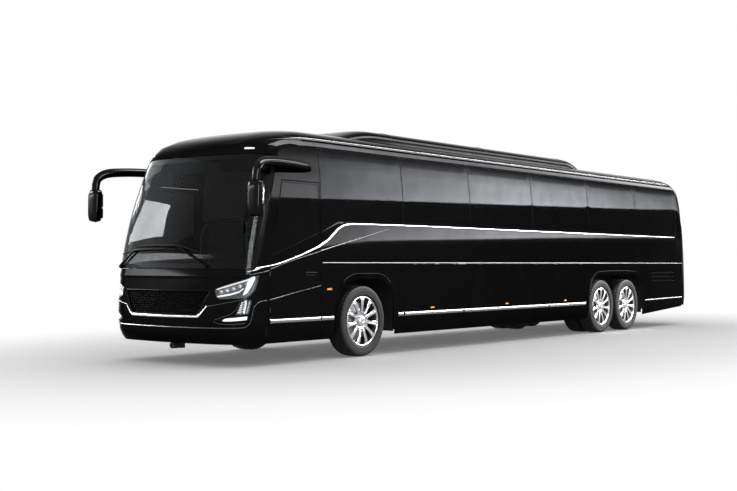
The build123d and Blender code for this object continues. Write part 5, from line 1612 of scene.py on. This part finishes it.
def vertices_of(obj):
    """A mesh object's vertices."""
    return np.array([v.co[:] for v in obj.data.vertices])


def swell(pad):
    """Puffs a closed pad up with cloth pressure, each vertex by no more than the cap."""
    remesh = pad.modifiers.new("even", "REMESH")
    remesh.mode = "VOXEL"
    remesh.voxel_size = VOXEL
    bake(pad)
    start = vertices_of(pad)
    cloth = pad.modifiers.new("swell", "CLOTH").settings
    cloth.use_pressure = True
    cloth.uniform_pressure_force = 4
    cloth.quality = 6
    cloth.effector_weights.gravity = 0
    for step in range(1, SWELL_STEPS + 1):
        bpy.context.scene.frame_set(step)
    bake(pad)
    bpy.context.scene.frame_set(1)
    moved = vertices_of(pad) - start
    far = np.linalg.norm(moved, axis=1, keepdims=True)
    moved *= np.minimum(1, SWELL_CAP / np.maximum(far, 1e-9))
    for vertex, spot in zip(pad.data.vertices, start + moved):
        vertex.co = spot


def padded_form(name, half, channels=()):
    """A crowned closed cushion lying flat: half sizes, swollen by a cloth simulation, with sewn channels."""
    work = bmesh.new()
    nx, ny = PAD_CELLS
    top, low = {}, {}
    for i in range(nx + 1):
        for j in range(ny + 1):
            u, v = 2 * i / nx - 1, 2 * j / ny - 1
            su, sv = math.sin(u * math.pi / 2), math.sin(v * math.pi / 2)
            x = su * half[0] * (1 - 0.06 * (1 - abs(sv) ** 6) * abs(su) ** 4)
            y = sv * half[1] * (1 - 0.06 * (1 - abs(su) ** 6) * abs(sv) ** 4)
            edge = max(abs(u), abs(v))
            rise = half[2] * (1 - edge ** 8) ** 0.5
            top[i, j] = work.verts.new((x, y, rise))
            low[i, j] = top[i, j] if edge >= 1 else work.verts.new((x, y, -rise))
    for i in range(nx):
        for j in range(ny):
            work.faces.new([top[i, j], top[i + 1, j], top[i + 1, j + 1], top[i, j + 1]])
            under = [low[i, j], low[i, j + 1], low[i + 1, j + 1], low[i + 1, j]]
            work.faces.new(under)
    bmesh.ops.recalc_face_normals(work, faces=work.faces)
    mesh = bpy.data.meshes.new(name)
    work.to_mesh(mesh)
    work.free()
    pad = bpy.data.objects.new(name, mesh)
    bpy.context.scene.collection.objects.link(pad)
    swell(pad)
    points = vertices_of(pad)
    faces = [list(f.vertices) for f in pad.data.polygons]
    bpy.data.objects.remove(pad)
    points *= np.array(half) / np.abs(points).max(0)
    for at_y in channels:
        groove = GROOVE_DEPTH * np.exp(-((points[:, 1] - at_y) / GROOVE_WIDTH) ** 2)
        points[:, 2] -= np.sign(points[:, 2]) * groove * (np.abs(points[:, 2]) > half[2] * 0.3)
    groove = PIPING_DEPTH * np.exp(-((np.abs(points[:, 0]) - half[0] * 0.62) / PIPING_WIDTH) ** 2)
    points[:, 2] -= groove * (points[:, 2] > half[2] * 0.3)
    normals = np.zeros_like(points)
    for face in faces:
        normals[face] += np.cross(points[face], np.roll(points[face], -1, 0)).sum(0)
    return points, faces, normals / np.maximum(np.linalg.norm(normals, axis=1, keepdims=True), 1e-12)


def put_pad(piece, form, centre, lean, material, wide=1.0):
    """Places a cushion: lean turns it about X, so that its length points up and back."""
    points, faces, normals = form
    c, q = math.cos(lean), math.sin(lean)
    turn = np.array([[1, 0, 0], [0, c, q], [0, -q, c]])
    piece.add(points * (wide, 1, 1) @ turn + np.array(centre), faces, material, normals @ turn)


cushion_form = padded_form("cushion_form", (0.222, 0.235, 0.058), (-0.10, 0.06))
back_form = padded_form("back_form", (0.222, 0.37, 0.055), (-0.16, 0.03, 0.2))
rest_form = padded_form("rest_form", (0.15, 0.085, 0.048))

for half_name, rows_here in (("front", range(0, 7)), ("rear", range(7, SEAT_ROWS))):
    for side, suffix in SIDES:
        bases = Piece(f"seat_bottoms_{half_name}_{suffix}")
        backs = Piece(f"seat_backrests_{half_name}_{suffix}")
        for row in rows_here:
            s = SEAT_FIRST + SEAT_PITCH * row
            for x in SEAT_X:
                put_pad(bases, cushion_form, (side * x, at(s + 0.225), 1.652), math.radians(2), "fabric")
                put_pad(backs, back_form, (side * x, at(s + 0.468), 2.062), BACK_LEAN, "fabric")
                put_pad(backs, rest_form, (side * x, at(s + 0.492), 2.345), BACK_LEAN, "leather")
            for low in (0.46, 0.95):
                add_box(bases, (side * low, side * (low + 0.03)), (at(s + 0.12), at(s + 0.33)), (1.262, 1.60),
                        "plastic")
            add_box(bases, (side * 0.30, side * 1.13), (at(s + 0.14), at(s + 0.18)), (1.565, 1.60), "plastic")
            for x in (0.245, 0.715, 1.175):
                rest = [(side * x, at(s + 0.42), 1.83), (side * x, at(s + 0.30), 1.835),
                        (side * x, at(s + 0.14), 1.84)]
                add_tube(bases, rest, 0.017, "leather", sides=10, squash=(1.2, 1.0))
        first = half_name == "front" and side > 0
        for piece, hidden in ((bases, "seat_cushions"), (backs, "seat_backs")):
            piece.build(replaces=(hidden,) if first else (), slot="seat_fabric")

driver_seat = Piece("driver_seat")
driver_wide, driver_lean = 0.232 / 0.222, math.pi / 2 - 0.16
put_pad(driver_seat, cushion_form, (DRIVER_X, at(-1.335), 1.232), math.radians(3), "fabric", driver_wide)
put_pad(driver_seat, back_form, (DRIVER_X, at(-1.11), 1.63), driver_lean, "fabric", driver_wide)
put_pad(driver_seat, rest_form, (DRIVER_X, at(-1.075), 1.905), driver_lean, "leather")
add_box(driver_seat, (0.50, 0.74), (at(-1.45), at(-1.22)), (0.845, 1.18), "plastic")
for x in (0.385, 0.855):
    add_tube(driver_seat, [(x, at(-1.10), 1.40), (x, at(-1.25), 1.41), (x, at(-1.42), 1.40)], 0.02, "leather",
             sides=10)
driver_seat.build(slot="seat_fabric")

dash = Piece("dash_top")
dash_curve = smooth_route([(-2.47, 1.235), (-2.30, 1.238), (-2.15, 1.232), (-2.08, 1.20), (-2.015, 1.14),
                           (-2.045, 1.0), (-2.075, 0.86)], 5)
dash_rows = []
for x in np.linspace(-0.5, 1.0, 31):
    hood = 0.055 * math.exp(-((x - DRIVER_X) / 0.20) ** 4)
    dash_rows.append([(x, at(s + hood * math.exp(-((z - 1.2) / 0.05) ** 2) * 0.6),
                       z + hood * math.exp(-((s + 2.16) / 0.10) ** 2)) for s, z in dash_curve])
add_grid(dash, dash_rows, "plastic", centre=(0.25, at(-2.4), 0.9))
for k, x in ((0, -0.5), (-1, 1.0)):
    side_face = dash_rows[k] + [(x, at(-2.46), 0.86)]
    dash.add(side_face, [range(len(side_face))], "plastic", flip=k == 0)
for x, half in ((0.42, 0.13), (0.05, 0.16)):
    screen = box_face((x - half, x + half), (at(-2.035), at(-2.018)), (1.03, 1.13))
    add_block(dash, screen, (0, 0.012, -0.003), "gloss_trim", 0.002)
add_tube(dash, [(DRIVER_X, at(-2.09), 1.06), (DRIVER_X, at(-1.985), 1.245)], 0.03, "plastic", up=(1, 0, 0))
dash.build(replaces=("dashboard",), slot="trim_black")

wheel = Piece("steering_grip")
hub, wheel_axis = np.array((DRIVER_X, at(-2.08) + 0.1, 1.2532)), np.array((0, 0.5, 0.866))


def wheel_point(radius, turn):
    """Point of the steering wheel's plane."""
    across, up = np.array((1.0, 0, 0)), np.array((0, 0.866, -0.5))
    return hub + radius * (math.cos(turn) * across + math.sin(turn) * up)


add_tube(wheel, [wheel_point(0.208, t) for t in np.linspace(0, 2 * math.pi, 49)], 0.0145, "leather", sides=12,
         up=wheel_axis, caps=False)
add_lathe(wheel, hub - wheel_axis * 0.012, wheel_axis,
          [(0.0, -0.002), (0.05, 0.0), (0.058, 0.012), (0.05, 0.024), (0.0, 0.028)], "plastic", 28)
for turn in (30, 150, 270):
    end = wheel_point(0.205, math.radians(turn))
    add_tube(wheel, [hub + (end - hub) * 0.2, (hub + end) / 2, end], [0.02, 0.014, 0.011], "plastic",
             sides=10, squash=(1.0, 0.6), up=wheel_axis)
wheel.build("steering_wheel", ("steering_wheel",), "trim_black")


def make_rack(piece):
    """Luggage rack above the windows, with its service strip and hand rail."""
    shape = [(1.10, 2.83), (0.74, 2.80), (0.72, 2.83), (0.74, 2.87), (0.93, 3.03), (1.06, 3.05)]
    grid = [[(x, at(s), z) for x, z in shape + shape[:1]] for s in np.linspace(-0.6, 11.15, 24)]
    add_grid(piece, grid, "lining", centre=(0.93, at(5.3), 2.92))
    for end in (0, -1):
        piece.add(grid[end][:-1], [range(6)], "lining", flip=end == 0)
    add_tube(piece, [(0.70, at(s), 2.845) for s in np.linspace(-0.58, 11.1, 24)], 0.013, "satin", sides=8)
    for row in range(SEAT_ROWS):
        for x in (0.82, 0.98):
            foot = (x, at(SEAT_FIRST + SEAT_PITCH * row + 0.25), 2.804 + (x - 0.74) * 0.083)
            add_lathe(piece, foot, (0, 0, -1), [(0.0, 0.008), (0.024, 0.006), (0.03, -0.004)], "plastic",
                      12)


mirrored_pair(make_rack, "luggage_rack", slot="trim_black")

rails = Piece("entry_rails")
add_tube(rails, smooth_route([(-1.12, at(-1.02), 0.95), (-1.12, at(-1.02), 1.7), (-1.05, at(-0.98), 1.95),
                              (-0.80, at(-0.95), 2.0), (-0.30, at(-0.95), 2.0), (-0.22, at(-0.95), 1.9),
                              (-0.22, at(-0.95), 1.30)], 5), 0.016, "silver", sides=10, up=(0, 1, 0))
for x in ((-1.05, -0.32), (0.36, 1.12)):
    add_block(rails, box_face(x, (at(-0.93), at(-0.93)), (1.32, 2.05)), (0, 0.02, 0), "lining", 0.004)
for x in ((-0.95, -0.12), (0.12, 0.95)):
    add_block(rails, box_face(x, (at(-1.84), at(-1.78)), (2.66, 2.90)), (0, 0.014, 0), "lining", 0.004)
rails.build(slot="trim_black")


# Floor, light and camera
WORLD_LIGHT = 0.62
FLOOR_SPREAD = (7.0, 12.5)  # half widths over which the floor fades to white


def seen_directly(tree):
    """1 for camera, transmission and glossy rays."""
    path = add_node(tree, "LightPath").node
    level = path.outputs["Is Camera Ray"]
    for kind in ("Is Transmission Ray", "Is Glossy Ray"):
        level = add_node(tree, "Math", links={0: level, 1: path.outputs[kind]}, operation="MAXIMUM")
    return level


def make_floor():
    """Pale studio floor that fades into a white surround away from the bus."""
    mesh = bpy.data.meshes.new("studio_floor")
    work = bmesh.new()
    bmesh.ops.create_grid(work, x_segments=8, y_segments=8, size=140)
    work.to_mesh(mesh)
    work.free()
    floor = bpy.data.objects.new("studio_floor", mesh)
    bpy.context.scene.collection.objects.link(floor)
    material = bpy.data.materials.new("studio_floor")
    material.use_nodes = True
    tree = material.node_tree
    tree.nodes.clear()
    spot = add_node(tree, "NewGeometry", result="Position")
    scaled = add_node(tree, "VectorMath", {1: (1 / FLOOR_SPREAD[0], 1 / FLOOR_SPREAD[1], 0)}, {0: spot},
                      operation="MULTIPLY")
    far = add_node(tree, "VectorMath", links={0: scaled}, result="Value", operation="LENGTH")
    fade = add_node(tree, "MapRange", {"From Min": 0.55, "From Max": 1.15, "To Min": 0.12}, {"Value": far},
                    interpolation_type="SMOOTHSTEP")
    share = add_node(tree, "Math", links={0: seen_directly(tree), 1: fade}, operation="MULTIPLY")
    pale = add_node(tree, "BsdfDiffuse", {"Color": (0.93, 0.93, 0.93, 1)})
    glow = add_node(tree, "Emission", {"Color": (1, 1, 1, 1)})
    mix = add_node(tree, "MixShader", links={"Fac": share, 1: pale, 2: glow})
    feed(tree, tree.nodes.new("ShaderNodeOutputMaterial"), {}, {"Surface": mix})
    mesh.materials.append(material)


def make_world():
    """White where camera, glossy and transmission rays see it, a plain soft light elsewhere."""
    world = bpy.data.worlds.new("studio")
    bpy.context.scene.world = world
    world.use_nodes = True
    tree = world.node_tree
    level = add_node(tree, "MapRange", {"To Min": WORLD_LIGHT, "To Max": 1.0}, {"Value": seen_directly(tree)})
    feed(tree, tree.nodes["Background"], {"Color": (1, 1, 1, 1)}, {"Strength": level})


def make_softbox(name, centre, size, radiance, aim=None, roll=0.0, diffuse=False, along=None, upward=None):
    """Rectangular soft light, never seen itself, aimed at a point or straight across the bus.

    along and upward are (place, strength) stops across its width and its height.
    """
    data = bpy.data.lights.new(name, "AREA")
    data.shape = "RECTANGLE"
    data.size, data.size_y = size
    data.energy = radiance * math.pi * size[0] * size[1]
    light = bpy.data.objects.new(name, data)
    bpy.context.scene.collection.objects.link(light)
    look = (Vector(aim or (0.0, *centre[1:])) - Vector(centre)).normalized()
    light.matrix_world = (Matrix.Translation(centre) @ look.to_track_quat("-Z", "Y").to_matrix().to_4x4()
                          @ Matrix.Rotation(math.radians(roll), 4, "Z"))
    light.visible_camera = False
    light.visible_diffuse = diffuse
    if along or upward:
        data.use_nodes = True
        tree = data.node_tree
        place = add_node(tree, "SeparateXYZ",
                         links={0: add_node(tree, "NewGeometry", result="Parametric")}).node
        levels = [add_ramp(tree, place.outputs[way], [(stop, [strength] * 3) for stop, strength in stops])
                  for stops, way in ((along, "X"), (upward, "Y")) if stops]
        if len(levels) == 2:
            levels = [add_node(tree, "Math", links=enumerate(levels), operation="MULTIPLY")]
        feed(tree, next(node for node in tree.nodes if node.type == "EMISSION"), {}, {"Strength": levels[0]})


make_floor()
make_world()
make_softbox("overhead", (1.0, 0.0, 13.0), (9.0, 20.0), 0.9, aim=(0.5, 0.0, 0.0), diffuse=True)
make_softbox("side_glass_card", (11.8, 20.67, 9.74), (34.0, 9.0), 113.0, roll=2.7,
             along=((0.0, 0.10), (0.12, 0.18), (0.18, 0.30), (0.26, 0.42), (0.33, 0.54), (0.41, 0.75),
                    (0.49, 0.71), (0.59, 0.66), (0.67, 0.43), (0.76, 0.35), (0.82, 0.24), (1.0, 0.2)),
             upward=((0.0, 1.0), (0.07, 0.8), (0.15, 0.7), (0.22, 0.52), (0.30, 0.38), (0.35, 0.22),
                     (0.43, 0.13), (0.55, 0.09), (0.69, 0.045), (1.0, 0.01)))
make_softbox("cant_card", (6.0, 19.0, 14.4), (44.0, 11.5), 40.0)
make_softbox("nose_card", (-10.8, -14.0, 7.3), (10.0, 9.0), 7.0, aim=(0.0, -7.2, 1.6),
             along=((0.0, 1.0), (0.35, 0.7), (0.6, 0.25), (0.85, 0.0)), upward=((0.0, 1.0), (1.0, 0.35)))
make_softbox("pane_card", (-12.0, -11.5, 6.4), (6.9, 2.4), 66.0, roll=25.0,
             along=((0.0, 0.9), (0.5, 0.75), (1.0, 1.0)))
make_softbox("brow_card", (-12.0, -22.1, 5.03), (24.0, 3.85), 23.0, roll=16.2,
             along=((0.0, 0.6), (0.17, 0.85), (0.35, 1.0), (0.52, 0.75), (0.7, 0.4), (0.85, 0.15),
                    (1.0, 0.0)),
             upward=((0.0, 0.03), (0.35, 0.06), (0.72, 0.07), (0.77, 1.0), (1.0, 1.0)))
make_softbox("corner_card", (-12.0, -7.4, 7.4), (6.4, 3.0), 80.0, roll=40.0,
             along=((0.0, 1.0), (0.4, 0.4), (1.0, 0.05)))
make_softbox("pillar_card", (13.0, -7.0, 4.6), (3.2, 5.6), 24.0, upward=((0.0, 0.6), (0.4, 1.0), (1.0, 0.3)))

CAMERA_AT = Vector((11.785, -17.76, 1.362))
CAMERA_TURN = math.radians(38.25)
CAMERA_PITCH = math.radians(0.92)
FOCAL_PX, IMAGE_W = 1150, 737
camera_data = bpy.data.cameras.new("camera")
camera_data.sensor_width = 36.0
camera_data.lens = FOCAL_PX / IMAGE_W * camera_data.sensor_width
camera_data.clip_end = 400
camera = bpy.data.objects.new("camera", camera_data)
bpy.context.scene.collection.objects.link(camera)
forward = Vector((-math.sin(CAMERA_TURN) * math.cos(CAMERA_PITCH),
                  math.cos(CAMERA_TURN) * math.cos(CAMERA_PITCH), math.sin(CAMERA_PITCH)))
camera.matrix_world = Matrix.Translation(CAMERA_AT) @ forward.to_track_quat("-Z", "Y").to_matrix().to_4x4()
bpy.context.scene.camera = camera
bpy.context.scene.view_settings.view_transform = "Standard"

CARRIED = {"frame_steel": "steel", "body_paint": "paint", "tinted_glass": "tinted", "screen_glass": "screen",
           "tyre": "rubber", "alloy": "alloy", "grille_black": "grille", "lamp_clear": "lens",
           "lamp_red": "red_lens", "trim_black": "plastic", "floor_board": "floor_board",
           "seat_fabric": "fabric"}
for part in frame["record"]["subparts"]:
    mesh = nodes[part["node"]].data
    mesh.materials.clear()
    mesh.materials.append(M[CARRIED[part["material_slot"]]])
